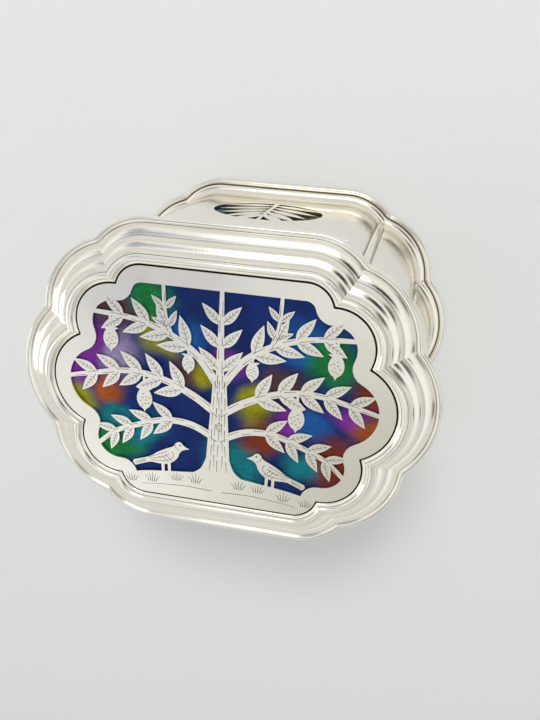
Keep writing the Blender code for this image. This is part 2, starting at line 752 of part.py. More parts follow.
def main():
    clear_scene()
    parts = new_collection("etrog_box")
    cutters = new_collection("cutters")
    silver = metal("silver", (0.93, 0.92, 0.89), 0.12)
    colour = metal("rainbow_metal", (0.20, 0.25, 0.45), 0.30)
    axis_y, axis_z = hinge_axis()
    pivot = bpy.data.objects.new("lid_pivot", None)
    parts.objects.link(pivot)
    pivot.location = (0.0, axis_y, axis_z)
    bpy.context.view_layer.update()
    make_body(parts, silver, cutters)
    make_window_sheets(parts, colour)
    make_lid(parts, silver, colour)
    make_hinge(parts, silver, cutters, pivot)
    for name in ("lid_frame", "lid_plate", "lid_colour_sheet", "lid_back_plate"):
        piece = bpy.data.objects[name]
        piece.parent = pivot
        piece.matrix_parent_inverse = pivot.matrix_world.inverted()


main()
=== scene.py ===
"""Looks of the etrog box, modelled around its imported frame.

Metres, +Z up, in the frame's own axes. The box stands on its foot with the lid shut: its long
axis is X, the front faces -Y and the hinge is at +Y. Mouldings and walls follow one lobed
outline, the edge of the lid's flat plate, at an offset. The plate's drawing is in millimetres.
"""

import json
import logging
import math
from collections.abc import Callable, Iterator, Sequence
from contextlib import contextmanager
from dataclasses import dataclass, field, replace
from enum import Enum

import bmesh
import bpy
import numpy as np
from mathutils import Matrix, Vector
from mathutils.geometry import delaunay_2d_cdt


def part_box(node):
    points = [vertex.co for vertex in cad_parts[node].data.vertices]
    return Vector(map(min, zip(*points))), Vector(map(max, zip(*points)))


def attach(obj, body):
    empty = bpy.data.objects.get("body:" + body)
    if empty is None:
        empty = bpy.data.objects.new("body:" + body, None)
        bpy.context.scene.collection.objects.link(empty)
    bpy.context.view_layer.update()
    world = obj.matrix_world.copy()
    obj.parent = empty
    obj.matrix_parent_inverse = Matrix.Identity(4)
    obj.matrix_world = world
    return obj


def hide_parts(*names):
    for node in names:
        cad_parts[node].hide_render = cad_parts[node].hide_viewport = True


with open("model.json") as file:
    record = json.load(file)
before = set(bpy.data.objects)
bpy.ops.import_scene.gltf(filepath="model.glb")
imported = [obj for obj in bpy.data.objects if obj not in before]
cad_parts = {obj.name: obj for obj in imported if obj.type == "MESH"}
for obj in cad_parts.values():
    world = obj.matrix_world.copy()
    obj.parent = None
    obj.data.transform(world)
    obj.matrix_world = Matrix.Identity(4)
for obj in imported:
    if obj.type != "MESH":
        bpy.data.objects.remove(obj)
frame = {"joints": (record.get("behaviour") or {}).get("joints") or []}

LOG = logging.getLogger("etrog_box")
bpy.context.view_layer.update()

MM = 0.001
WALL_OFFSET = 0.0094  # the wall's outer face, outwards from the plate's edge
SHARP_CUSP = 0.0004  # radius of the hollow corners near the plate
WALL_CUSP = 0.0028  # the same at the wall
RIM_CUSP = 0.0046  # the same at the rim and the foot
# The relief attribute also sets colour: grooves are painted dark, a warm tarnishing with painted shade.
RELIEF = "relief"  # attribute of a moulding, 1 on a proud edge and -1 in a groove

Point = tuple[float, float]
Route = list[Point]
Colour = tuple[float, float, float]


class Body(Enum):
    """The frame's rigid bodies."""

    BOX = "box"
    LID = "lid"


class Side(Enum):
    """A long side of the box."""

    BACK = "back"
    FRONT = "front"


# Edit-mode helpers


def activate(piece: bpy.types.Object) -> None:
    """Makes one object the only selected and active one.

    Args:
        piece: The object to work on.
    """
    for other in list(bpy.context.selected_objects):
        other.select_set(False)
    piece.select_set(True)
    bpy.context.view_layer.objects.active = piece


@contextmanager
def edit_mode(piece: bpy.types.Object, select: str = "FACE") -> Iterator[None]:
    """Opens an object in edit mode with nothing selected.

    Args:
        piece: The mesh object.
        select: VERT, EDGE or FACE.

    Yields:
        Nothing, while the object is in edit mode.
    """
    activate(piece)
    bpy.ops.object.mode_set(mode="EDIT")
    bpy.ops.mesh.select_mode(type=select)
    bpy.ops.mesh.select_all(action="DESELECT")
    yield
    bpy.ops.object.mode_set(mode="OBJECT")


def pick(piece: bpy.types.Object, kind: str, wanted: Callable[[object], bool]) -> int:
    """Selects some of a mesh's elements in edit mode.

    Args:
        piece: The mesh object in edit mode.
        kind: verts, edges or faces.
        wanted: Says whether an element is selected.

    Returns:
        How many were selected.
    """
    bpy.ops.mesh.select_all(action="DESELECT")
    draft = bmesh.from_edit_mesh(piece.data)
    draft.normal_update()
    chosen = [item for item in getattr(draft, kind) if wanted(item)]
    for item in chosen:
        item.select_set(True)
    draft.select_flush_mode()
    bmesh.update_edit_mesh(piece.data)
    return len(chosen)


def apply_modifier(piece: bpy.types.Object, kind: str, **settings: object) -> None:
    """Adds a modifier and applies it at once.

    Args:
        piece: The mesh object.
        kind: The modifier's type.
        **settings: Its settings.
    """
    activate(piece)
    bpy.ops.object.modifier_add(type=kind)
    modifier = piece.modifiers[-1]
    for name, value in settings.items():
        setattr(modifier, name, value)
    bpy.ops.object.modifier_apply(modifier=modifier.name)


def round_edges(piece: bpy.types.Object, width: float, segments: int) -> None:
    """Rounds the edges where faces meet at more than 60 degrees.

    Args:
        piece: The mesh object.
        width: The rounding's width.
        segments: The number of faces across it.
    """
    angle = math.radians(60)
    apply_modifier(piece, "BEVEL", width=width, segments=segments, limit_method="ANGLE", angle_limit=angle)


def combine(piece: bpy.types.Object, operation: str, other: bpy.types.Object) -> None:
    """Joins another solid to a piece or cuts it away, and removes the other.

    Args:
        piece: The mesh object.
        operation: UNION or DIFFERENCE.
        other: The other solid.
    """
    apply_modifier(piece, "BOOLEAN", operation=operation, solver="EXACT", object=other)
    bpy.data.objects.remove(other)


def settle(piece: bpy.types.Object) -> None:
    """Moves an object's place, turn and size into its mesh.

    Args:
        piece: The mesh object.
    """
    activate(piece)
    bpy.ops.object.transform_apply(location=True, rotation=True, scale=True)


def polish_shading(piece: bpy.types.Object, degrees: float = 32.0) -> None:
    """Points faces outwards and shades them smooth up to an angle.

    Args:
        piece: The closed mesh object.
        degrees: The least angle between faces that stays a crisp edge.
    """
    with edit_mode(piece):
        bpy.ops.mesh.select_all(action="SELECT")
        bpy.ops.mesh.normals_make_consistent(inside=False)
    bpy.ops.object.shade_smooth_by_angle(angle=math.radians(degrees))
    apply_modifier(piece, "WEIGHTED_NORMAL", keep_sharp=True, weight=80)


def settle_piece(
    piece: bpy.types.Object,
    name: str,
    materials: Sequence[bpy.types.Material],
    body: Body,
    node: str,
) -> bpy.types.Object:
    """Names and dresses a finished piece, hangs it on its body and hides the frame's node that it stands for.

    Args:
        piece: The mesh object.
        name: Its name in plain words.
        materials: Its materials, by material index.
        body: The body that it rides on.
        node: The frame's node that it stands for.

    Returns:
        The piece.
    """
    piece.name = name
    piece.data.name = name
    for material in materials:
        piece.data.materials.append(material)
    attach(piece, body.value)
    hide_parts(node)
    LOG.info("%s: %d faces on %s", name, len(piece.data.polygons), body.value)
    return piece


# Lobed outline and the sections that run along it


def polar(centre: Vector, radius: float, angle: float) -> Vector:
    """The point at an angle on a circle."""
    return Vector((centre.x + radius * math.cos(angle), centre.y + radius * math.sin(angle)))


def heading(start: Vector, end: Vector) -> float:
    """The direction from one point to another, as an angle."""
    return math.atan2(end.y - start.y, end.x - start.x)


def arc(centre: Vector, radius: float, start: float, end: float, steps: int) -> list[Vector]:
    """Points along an arc, its first and last included.

    Args:
        centre: The arc's centre.
        radius: Its radius.
        start: The first angle.
        end: The last angle.
        steps: The number of chords.

    Returns:
        The points in order.
    """
    return [polar(centre, radius, start + (end - start) * i / steps) for i in range(steps + 1)]


@dataclass(frozen=True)
class LobedOutline:
    """The plate's edge: lobes at the ends, corners and sides, with hollow cusps between them.

    Attributes:
        length: Length of the plate.
        width: Width of the plate.
        corner_radius: Radius of the corner lobes.
        corner_from_end: Distance of their centres from the plate's end.
        corner_from_side: Distance of their centres from the plate's long side.
        corner_start: Angle of the first cusp on the corner lobe.
        corner_end: Angle of the second cusp on it.
        side_radius: Radius of the lobes that run into the long sides.
        lobe_steps: Chords of the end, corner and side lobes in one quarter.
        cusp_steps: Chords of a cusp's rounding.
        straight_steps: Chords of a long side.
    """

    length: float
    width: float
    corner_radius: float = 0.0136
    corner_from_end: float = 0.0230
    corner_from_side: float = 0.0207
    corner_start: float = math.radians(-23.8)
    corner_end: float = math.radians(94.2)
    side_radius: float = 0.0091
    lobe_steps: tuple[int, int, int] = (22, 28, 14)
    cusp_steps: int = 8
    straight_steps: int = 24

    def circles(self) -> tuple[tuple[Vector, float], ...]:
        """Places the lobes of one quarter.

        Returns:
            Centre and radius of the end, corner and side lobes.
        """
        half_length, half_width = self.length / 2, self.width / 2
        corner = Vector((half_length - self.corner_from_end, half_width - self.corner_from_side))
        near_end = polar(corner, self.corner_radius, self.corner_start)
        near_side = polar(corner, self.corner_radius, self.corner_end)
        end_x = (half_length**2 - near_end.length_squared) / (2 * (half_length - near_end.x))
        rise = near_side.y - half_width + self.side_radius
        side_x = near_side.x - math.sqrt(self.side_radius**2 - rise**2)
        side = Vector((side_x, half_width - self.side_radius))
        return (
            (Vector((end_x, 0.0)), half_length - end_x),
            (corner, self.corner_radius),
            (side, self.side_radius),
        )

    def cusp_centre(self, a: tuple[Vector, float], b: tuple[Vector, float], reach: float) -> Vector:
        """The centre of the rounding between two lobes.

        Args:
            a: Centre and radius of one lobe.
            b: Centre and radius of the next.
            reach: Offset plus cusp radius.

        Returns:
            The outer crossing of the two lobes' circles, widened by reach.
        """
        (centre_a, radius_a), (centre_b, radius_b) = a, b
        radius_a, radius_b = radius_a + reach, radius_b + reach
        line = centre_b - centre_a
        distance = line.length
        along = (distance**2 + radius_a**2 - radius_b**2) / (2 * distance)
        across = math.sqrt(max(radius_a**2 - along**2, 0.0))
        line.normalize()
        foot = centre_a + line * along
        side = Vector((-line.y, line.x)) * across
        return max(foot + side, foot - side, key=lambda point: point.length)

    def quarter(self, offset: float, cusp: float) -> list[Vector]:
        """One quarter of the outline, from the +X axis to the end of the long side.

        Args:
            offset: Distance outwards from the plate's edge.
            cusp: Radius of the hollow corners; below zero, of a round rod that stands in them.

        Returns:
            The points in order.
        """
        lobes = self.circles()
        reach = offset + max(cusp, 0.0)
        cusps = [self.cusp_centre(a, b, reach) for a, b in zip(lobes, lobes[1:])]
        points: list[Vector] = []
        start = 0.0
        for index, (centre, radius) in enumerate(lobes):
            cut = 2 * math.asin(max(-cusp, 0.0) / 2 / (radius + offset))
            stop = heading(centre, cusps[index]) - cut if index < len(cusps) else math.pi / 2
            start = start + cut if index else start
            points += arc(centre, radius + offset, start, stop, self.lobe_steps[index])
            if index < len(cusps):
                after, after_radius = lobes[index + 1]
                start = heading(after, cusps[index])
                after_cut = 2 * math.asin(max(-cusp, 0.0) / 2 / (after_radius + offset))
                leave_at = polar(after, after_radius + offset, start + after_cut)
                turn, leave = heading(cusps[index], points[-1]), heading(cusps[index], leave_at)
                sweep = (leave - turn) % math.tau
                if cusp > 0:
                    sweep = (sweep + math.pi) % math.tau - math.pi
                points += arc(cusps[index], abs(cusp), turn, turn + sweep, self.cusp_steps)[1:-1]
        return points

    def ring(self, offset: float, cusp: float) -> np.ndarray:
        """The whole outline at an offset, anticlockwise from the +X axis.

        Args:
            offset: Distance outwards from the plate's edge.
            cusp: Radius of the hollow corners.

        Returns:
            An array of points, one row each.
        """
        quarter = [(p.x, p.y) for p in self.quarter(offset, cusp)]
        side_x, side_y = quarter[-1]
        shares = [1 - 2 * i / self.straight_steps for i in range(1, self.straight_steps)]
        back = [(side_x * share, side_y) for share in shares]
        upper = quarter + back + [(-x, y) for x, y in reversed(quarter)]
        lower = [(x, -y) for x, y in reversed(upper[1:-1])]
        return np.array(upper + lower)

    def seams(self) -> np.ndarray:
        """Finds where the rods in the hollow corners meet the lobes, seams that are painted dark as shade.

        Returns:
            For each point of a ring, 1 where a rod meets a lobe and 0 elsewhere.
        """
        end, corner, side = self.lobe_steps
        quarter = [0.0] * (end + corner + side + 2 * self.cusp_steps + 1)
        second = end + self.cusp_steps + corner
        for at in (end, end + self.cusp_steps, second, second + self.cusp_steps):
            quarter[at] = 1.0
        upper = quarter + [0.0] * (self.straight_steps - 1) + quarter[::-1]
        return np.array(upper + upper[-2:0:-1])


@dataclass(frozen=True)
class Station:
    """One line of a moulding: where it runs, how rubbed its edge is and how dark its groove is painted, with
    tarnishing and shade.

    Attributes:
        offset: Distance outwards from the plate's edge.
        height: Height above the floor.
        cusp: Radius of its hollow corners.
        relief: 1 on a proud edge, -1 in a groove, which is painted dark with tarnishing and shade.
    """

    offset: float
    height: float
    cusp: float
    relief: float = 0.0


class Section:
    """A moulding's section, drawn station by station."""

    def __init__(self, datum: float = 0.0) -> None:
        """Starts an empty section.

        Args:
            datum: Height that the levels are measured from.
        """
        self.datum = datum
        self.stations: list[Station] = []

    def to(self, offset: float, level: float, cusp: float, relief: float = 0.0) -> "Section":
        """Adds one station at a level above the datum."""
        self.stations.append(Station(offset, self.datum + level, cusp, relief))
        return self

    def round(
        self,
        offset: float,
        level: float,
        radius: float,
        degrees: tuple[float, float],
        cusp: float,
        steps: int,
    ) -> "Section":
        """Adds an arc.

        Args:
            offset: Offset of the arc's centre.
            level: Level of the arc's centre.
            radius: Its radius.
            degrees: First and last angle, 0 pointing outwards and 90 upwards.
            cusp: Radius of the hollow corners.
            steps: The number of chords.

        Returns:
            The section.
        """
        for i in range(steps + 1):
            turn = math.radians(degrees[0] + (degrees[1] - degrees[0]) * i / steps)
            aside, rise = radius * math.cos(turn), radius * math.sin(turn)
            self.to(offset + aside, level + rise, cusp, 0.35 * max(math.sin(turn), 0.0))
        return self

    def sweep(self, places: Sequence[tuple[float, float]], cusps: tuple[float, float]) -> "Section":
        """Adds stations whose cusp radius changes evenly from the first to the last.

        Args:
            places: Offset and level of each.
            cusps: Cusp radius of the first and the last.

        Returns:
            The section.
        """
        last = max(len(places) - 1, 1)
        for i, (offset, level) in enumerate(places):
            self.to(offset, level, cusps[0] + (cusps[1] - cusps[0]) * i / last)
        return self


def ogee(start: Point, end: Point, bend: float, steps: int) -> list[Point]:
    """An S-shaped fall, steep at both ends and flatter between.

    Args:
        start: Offset and level of its top.
        end: Offset and level of its foot.
        bend: Share by which the ends are steeper and the middle flatter than a straight fall.
        steps: The number of chords.

    Returns:
        Offset and level of each station.
    """
    places = []
    for i in range(steps + 1):
        share = i / steps
        fall = share + bend * math.sin(math.tau * share) / math.tau
        places.append((start[0] + (end[0] - start[0]) * share, start[1] + (end[1] - start[1]) * fall))
    return places


def crowned(start: Point, end: Point, crown: float, steps: int) -> list[Point]:
    """A slope that stands a little proud in its middle.

    Args:
        start: Offset and level of its top.
        end: Offset and level of its foot.
        crown: How far the middle stands above the straight slope.
        steps: The number of chords.

    Returns:
        Offset and level of each station.
    """
    places = []
    for i in range(steps + 1):
        share = i / steps
        level = start[1] + (end[1] - start[1]) * share + 4 * crown * share * (1 - share)
        places.append((start[0] + (end[0] - start[0]) * share, level))
    return places


def wrap_moulding(outline: LobedOutline, stations: Sequence[Station], closed: bool) -> bpy.types.Object:
    """Wraps a grid around the outline, one row of it along each station.

    Args:
        outline: The lobed outline.
        stations: The section's stations in order.
        closed: Whether the last station joins the first; otherwise both ends are capped.

    Returns:
        A closed mesh object with the relief of its stations as an attribute.
    """
    route = list(stations) + ([stations[0]] if closed else [])
    rings = np.array([outline.ring(s.offset, s.cusp) for s in route])
    around, across = rings.shape[1], len(route) - 1
    bpy.ops.mesh.primitive_grid_add(x_subdivisions=around, y_subdivisions=across, size=1.0)
    piece = bpy.context.object
    mesh = piece.data
    flat = np.zeros(len(mesh.vertices) * 3)
    mesh.vertices.foreach_get("co", flat)
    flat = flat.reshape(-1, 3)
    column = np.rint((flat[:, 0] + 0.5) * around).astype(int) % around
    row = np.rint((flat[:, 1] + 0.5) * across).astype(int)
    heights = np.array([s.height for s in route])
    placed = np.column_stack([rings[row, column], heights[row]])
    mesh.vertices.foreach_set("co", placed.ravel())
    relief = mesh.attributes.new(RELIEF, "FLOAT", "POINT")
    # Painted shade: where a rod meets a lobe the relief is lowered, so the seam is painted dark like a
    # groove.
    rods = np.array([max(-s.cusp, 0.0) for s in route])
    seam = outline.seams()[column] * (rods / max(rods.max(), 1e-6))[row] ** 2
    relief.data.foreach_set("value", np.array([s.relief for s in route])[row] - seam)
    mesh.update()
    with edit_mode(piece, "EDGE"):
        bpy.ops.mesh.select_all(action="SELECT")
        bpy.ops.mesh.remove_doubles(threshold=1e-6)
        for end in () if closed else (route[0], route[-1]):
            pick(piece, "edges", lambda e: e.is_boundary and abs(e.verts[0].co.z - end.height) < 1e-6)
            bpy.ops.mesh.edge_face_add()
    return piece


# Flat drawing, in millimetres


def turned(points: Route, place: Point, degrees: float) -> Route:
    """Turns a drawing about its origin and moves it to a place."""
    c, s = math.cos(math.radians(degrees)), math.sin(math.radians(degrees))
    return [(place[0] + u * c - v * s, place[1] + u * s + v * c) for u, v in points]


def mirrored(points: Route) -> Route:
    """The drawing's mirror image about the middle line."""
    return [(-x, y) for x, y in points]


def anticlockwise(points: Route) -> Route:
    """The same closed outline, running anticlockwise."""
    area = sum(a[0] * b[1] - b[0] * a[1] for a, b in zip(points, points[1:] + points[:1]))
    return points if area > 0 else points[::-1]


def between(a: float, b: float, c: float, d: float, t: float) -> float:
    """One coordinate of a smooth curve at a share t of the way from b to c."""
    return 0.5 * (2 * b + (c - a) * t + (2 * a - 5 * b + 4 * c - d) * t**2 + (3 * b - a - 3 * c + d) * t**3)


def spline(knots: Sequence[Point], steps: int) -> Route:
    """A smooth open curve through its knots.

    Args:
        knots: Points that the curve passes through.
        steps: The number of chords between two knots.

    Returns:
        The curve's points.
    """
    ends = [knots[0], *knots, knots[-1]]
    curve = []
    for near in zip(ends, ends[1:], ends[2:], ends[3:]):
        xs, ys = zip(*near)
        curve += [(between(*xs, i / steps), between(*ys, i / steps)) for i in range(steps)]
    return curve + [tuple(knots[-1])]


def point_in(place: Vector, border: Sequence[Vector]) -> bool:
    """Tells whether a point lies inside a closed outline, seen from above.

    Args:
        place: The point.
        border: The outline.

    Returns:
        Whether it lies inside.
    """
    inside = False
    for a, b in zip(border, border[1:] + border[:1]):
        if (a.y > place.y) == (b.y > place.y):
            continue
        inside ^= place.x < a.x + (place.y - a.y) * (b.x - a.x) / (b.y - a.y)
    return inside


def ribbon(route: Route, widths: tuple[float, float]) -> Route:
    """A strip along a route, from one width to another.

    Args:
        route: Its middle line.
        widths: Width at the start and at the end.

    Returns:
        The strip's outline.
    """
    left, right = [], []
    last = len(route) - 1
    for i, (x, y) in enumerate(route):
        ahead, behind = route[min(i + 1, last)], route[max(i - 1, 0)]
        angle = math.atan2(ahead[1] - behind[1], ahead[0] - behind[0])
        half = (widths[0] + (widths[1] - widths[0]) * i / last) / 2
        left.append((x - half * math.sin(angle), y + half * math.cos(angle)))
        right.append((x + half * math.sin(angle), y - half * math.cos(angle)))
    return right + left[::-1]


def place_on(route: Route, share: float) -> tuple[Point, float]:
    """Finds a place along a route.

    Args:
        route: The route.
        share: Share of its points, from 0 to 1.

    Returns:
        The point and the heading there in degrees.
    """
    spot = share * (len(route) - 1)
    i = min(int(spot), len(route) - 2)
    (ax, ay), (bx, by) = route[i], route[i + 1]
    t = spot - i
    return (ax + (bx - ax) * t, ay + (by - ay) * t), math.degrees(math.atan2(by - ay, bx - ax))


def oval(place: Point, half_length: float, half_width: float, degrees: float, sides: int) -> Route:
    """An ellipse.

    Args:
        place: Its middle.
        half_length: Half its length.
        half_width: Half its width.
        degrees: The turn of its length.
        sides: The number of chords.

    Returns:
        Its outline.
    """
    ring = [
        (half_length * math.cos(math.tau * i / sides), half_width * math.sin(math.tau * i / sides))
        for i in range(sides)
    ]
    return turned(ring, place, degrees)


@dataclass(frozen=True)
class Leaf:
    """A pointed, slightly bent leaf with engraved veins.

    Attributes:
        foot: Where it leaves its branch.
        degrees: Its direction.
        length: Its length.
        width: Its widest measure.
        bend: How far its tip turns aside, as a share of its length.
        steps: Chords of one side.
        veins: Veins on one side.
    """

    foot: Point
    degrees: float
    length: float
    width: float
    bend: float = 0.0
    steps: int = 9
    veins: int = 4

    def spine(self, share: float) -> Point:
        """The middle line at a share of the length, before it is placed."""
        return self.length * share, self.bend * self.length * share**2

    def half_width(self, share: float) -> float:
        """Half the leaf's width at a share of its length."""
        return self.width / 2 * math.sin(math.pi * share**0.8)

    def outline(self) -> Route:
        """Draws the leaf at its place.

        Returns:
            Its outline.
        """
        lower, upper = [], []
        for i in range(1, self.steps):
            x, y = self.spine(i / self.steps)
            half = self.half_width(i / self.steps)
            lower.append((x, y - half))
            upper.append((x, y + half))
        return turned([(0.0, 0.0)] + lower + [self.spine(1.0)] + upper[::-1], self.foot, self.degrees)

    def marks(self, line: float) -> list[Route]:
        """The midrib and side veins as thin outlines.

        Args:
            line: Width of the engraved line.

        Returns:
            One outline for each stroke.
        """
        rib = [self.spine(0.10 + 0.74 * i / 6) for i in range(7)]
        strokes = [ribbon(rib, (line, 0.6 * line))]
        for i in range(self.veins):
            share = 0.24 + 0.46 * i / max(self.veins - 1, 1)
            x, y = self.spine(share)
            reach = 0.62 * self.half_width(min(share + 0.12, 0.95))
            for side in (1, -1):
                start = (x + 0.2 * line, y + side * 0.9 * line)
                end = (x + 0.95 * reach, y + side * reach)
                strokes.append(ribbon([start, end], (0.8 * line, 0.5 * line)))
        return [turned(stroke, self.foot, self.degrees) for stroke in strokes]


@dataclass
class Fretwork:
    """A flat sheet, sawn through between its shapes and engraved with shallow strokes.

    Attributes:
        rim: The sheet's outer edge.
        field: The edge of the field inside its border.
        metal: Shapes left standing in the field.
        strokes: Engraved strokes.
    """

    rim: Route
    field: Route
    metal: list[Route] = field(default_factory=list)
    strokes: list[Route] = field(default_factory=list)

    def add_leaf(self, leaf: Leaf, line: float) -> None:
        """Leaves a leaf standing and engraves it.

        Args:
            leaf: The leaf.
            line: Width of its engraved lines.
        """
        self.metal.append(leaf.outline())
        self.strokes += leaf.marks(line)

    def mirror(self) -> None:
        """Repeats every shape and stroke on the other side of the middle line."""
        self.metal += [mirrored(shape) for shape in self.metal]
        self.strokes += [mirrored(stroke) for stroke in self.strokes]

    def solve(self, keep: Callable[[set[int]], int]) -> tuple[list[Vector], list[tuple[int, ...]], list[int]]:
        """Triangulates the sheet along every outline.

        Args:
            keep: Given the outlines that a triangle lies in, gives its mark, or -1 to leave it out.

        Returns:
            The corners, the kept triangles and their marks.
        """
        outlines = [self.rim, self.field, *self.metal, *self.strokes]
        points: list[Vector] = []
        faces: list[list[int]] = []
        for shape in outlines:
            start = len(points)
            points += [Vector(p) for p in anticlockwise(list(shape))]
            faces.append(list(range(start, len(points))))
        found = delaunay_2d_cdt(points, [], faces, 1, 1e-5)
        kept, marks = [], []
        for triangle, inside in zip(found[2], found[5]):
            mark = keep(set(inside))
            if mark >= 0:
                kept.append(tuple(triangle))
                marks.append(mark)
        return found[0], kept, marks

    def mark(self, inside: set[int]) -> int:
        """Tells what a triangle of the sheet is.

        Args:
            inside: Numbers of the outlines that it lies in.

        Returns:
            0 for bare metal, 1 for an engraved stroke and -1 where the sheet is sawn away.
        """
        first_stroke = 2 + len(self.metal)
        if 0 not in inside or (1 in inside and not any(2 <= i < first_stroke for i in inside)):
            return -1
        return int(any(i >= first_stroke for i in inside))


def flat_sheet(
    corners: list[Vector], triangles: list[tuple[int, ...]], marks: list[int], height: float
) -> bpy.types.Object:
    """A flat mesh of marked triangles; the mark is each face's material index.

    A sawn sheet has hundreds of crossing outlines, which no primitive or edit-mode tool gives,
    so its faces come from a triangulation. What follows is done in edit mode.

    Args:
        corners: Corners in millimetres.
        triangles: Three corner numbers each.
        marks: One mark for each triangle.
        height: The height that the sheet lies at.

    Returns:
        The mesh object.
    """
    mesh = bpy.data.meshes.new("flat_sheet")
    used = sorted({i for triangle in triangles for i in triangle})
    number = {old: new for new, old in enumerate(used)}
    places = [(corners[i].x * MM, corners[i].y * MM, height) for i in used]
    mesh.from_pydata(places, [], [[number[i] for i in triangle] for triangle in triangles])
    mesh.polygons.foreach_set("material_index", marks)
    piece = bpy.data.objects.new("flat_sheet", mesh)
    bpy.context.scene.collection.objects.link(piece)
    return piece


def thicken(piece: bpy.types.Object, thickness: float) -> None:
    """Raises a flat sheet into a slab.

    Args:
        piece: The flat mesh, lying at its bottom.
        thickness: The slab's thickness.
    """
    with edit_mode(piece):
        bpy.ops.mesh.select_all(action="SELECT")
        bpy.ops.mesh.extrude_region_move(TRANSFORM_OT_translate={"value": (0.0, 0.0, thickness)})
        bpy.ops.mesh.select_all(action="SELECT")
        bpy.ops.mesh.normals_make_consistent(inside=False)


# Shader parts


class Wiring:
    """Adds and joins shader nodes in one tree."""

    def __init__(self, tree: bpy.types.NodeTree) -> None:
        """Starts work on a tree.

        Args:
            tree: The node tree to fill.
        """
        self.tree = tree

    def add(self, kind: str, inputs: dict | None = None, **settings: object) -> bpy.types.Node:
        """Adds a node.

        Args:
            kind: The node's type.
            inputs: Values or sockets for its inputs, by name or number.
            **settings: The node's own settings.

        Returns:
            The node.
        """
        node = self.tree.nodes.new(kind)
        for name, value in settings.items():
            setattr(node, name, value)
        for key, value in (inputs or {}).items():
            if isinstance(value, bpy.types.NodeSocket):
                self.tree.links.new(value, node.inputs[key])
            else:
                node.inputs[key].default_value = value
        return node

    def maths(self, operation: str, a: object, b: object = 0.0, clamp: bool = False) -> bpy.types.NodeSocket:
        """A sum, product or other operation on two values."""
        return self.add("ShaderNodeMath", {0: a, 1: b}, operation=operation, use_clamp=clamp).outputs[0]

    def noise(
        self, place: object, scale: object, detail: float = 2.0, distortion: float = 0.0
    ) -> bpy.types.NodeSocket:
        """A noise value at a place."""
        inputs = {"Vector": place, "Scale": scale, "Detail": detail, "Distortion": distortion}
        return self.add("ShaderNodeTexNoise", inputs).outputs["Fac"]

    def spread(
        self, value: object, low: float, high: float, to_low: float, to_high: float, curve: str = "LINEAR"
    ) -> bpy.types.NodeSocket:
        """A value moved from one range to another, held at its ends."""
        inputs = {"Value": value, "From Min": low, "From Max": high, "To Min": to_low, "To Max": to_high}
        return self.add("ShaderNodeMapRange", inputs, interpolation_type=curve).outputs["Result"]

    def blend(self, share: object, a: object, b: object, kind: str = "MIX") -> bpy.types.NodeSocket:
        """A colour between two colours."""
        node = self.add("ShaderNodeMix", {0: share, 6: a, 7: b}, data_type="RGBA", blend_type=kind)
        return node.outputs[2]


def new_group(
    name: str, inputs: Sequence[tuple[str, str]], outputs: Sequence[tuple[str, str]]
) -> bpy.types.NodeTree:
    """An empty shader node group.

    Args:
        name: Its name.
        inputs: Name and socket type of each input.
        outputs: Name and socket type of each output.

    Returns:
        The group.
    """
    group = bpy.data.node_groups.new(name, "ShaderNodeTree")
    for direction, sockets in (("INPUT", inputs), ("OUTPUT", outputs)):
        for label, kind in sockets:
            group.interface.new_socket(name=label, in_out=direction, socket_type=kind)
    return group


FLOAT, VECTOR, COLOUR = "NodeSocketFloat", "NodeSocketVector", "NodeSocketColor"


def polish_group() -> bpy.types.NodeTree:
    """Hand polish: faint swirls of wear, cloudy sheen and a slightly uneven surface.

    Returns:
        The group.
    """
    group = new_group(
        "hand_polish",
        [("Vector", VECTOR), ("Fine Scale", FLOAT), ("Cloud Scale", FLOAT)],
        [("Sheen", FLOAT), ("Marks", FLOAT), ("Waves", FLOAT)],
    )
    w = Wiring(group)
    given = w.add("NodeGroupInput").outputs
    fine = w.noise(given["Vector"], given["Fine Scale"], 6.0, 2.2)
    cloud = w.noise(given["Vector"], given["Cloud Scale"], 3.0)
    sheen, marks = w.spread(cloud, 0.3, 0.7, 0.0, 1.0), w.spread(fine, 0.35, 0.65, 0.0, 1.0)
    waves = w.noise(given["Vector"], 26.0, 1.0)
    w.add("NodeGroupOutput", {"Sheen": sheen, "Marks": marks, "Waves": waves})
    return group


def tarnish_and_shade_group() -> bpy.types.NodeTree:
    """Shading by relief: grooves are painted dark, a warm tarnishing with painted shade, and proud edges are
    rubbed bright.

    Returns:
        The group.
    """
    group = new_group(
        "relief_wear_and_shade",
        [("Bright", COLOUR), ("Film and Shade", COLOUR), ("Cloud", FLOAT)],
        [("Color", COLOUR), ("Groove", FLOAT), ("Edge", FLOAT)],
    )
    w = Wiring(group)
    given = w.add("NodeGroupInput").outputs
    relief = w.add("ShaderNodeAttribute", attribute_name=RELIEF).outputs["Fac"]
    groove = w.spread(w.maths("MULTIPLY", relief, -1.0), 0.15, 0.95, 0.0, 0.85)
    edge = w.spread(relief, 0.1, 0.9, 0.0, 1.0)
    # Painted shade with tarnishing: the deeper the groove, the nearer its colour comes to the dark one.
    film_and_shade = w.maths("ADD", groove, w.maths("MULTIPLY", given["Cloud"], 0.06), clamp=True)
    colour = w.blend(film_and_shade, given["Bright"], given["Film and Shade"])
    w.add("NodeGroupOutput", {"Color": colour, "Groove": groove, "Edge": edge})
    return group


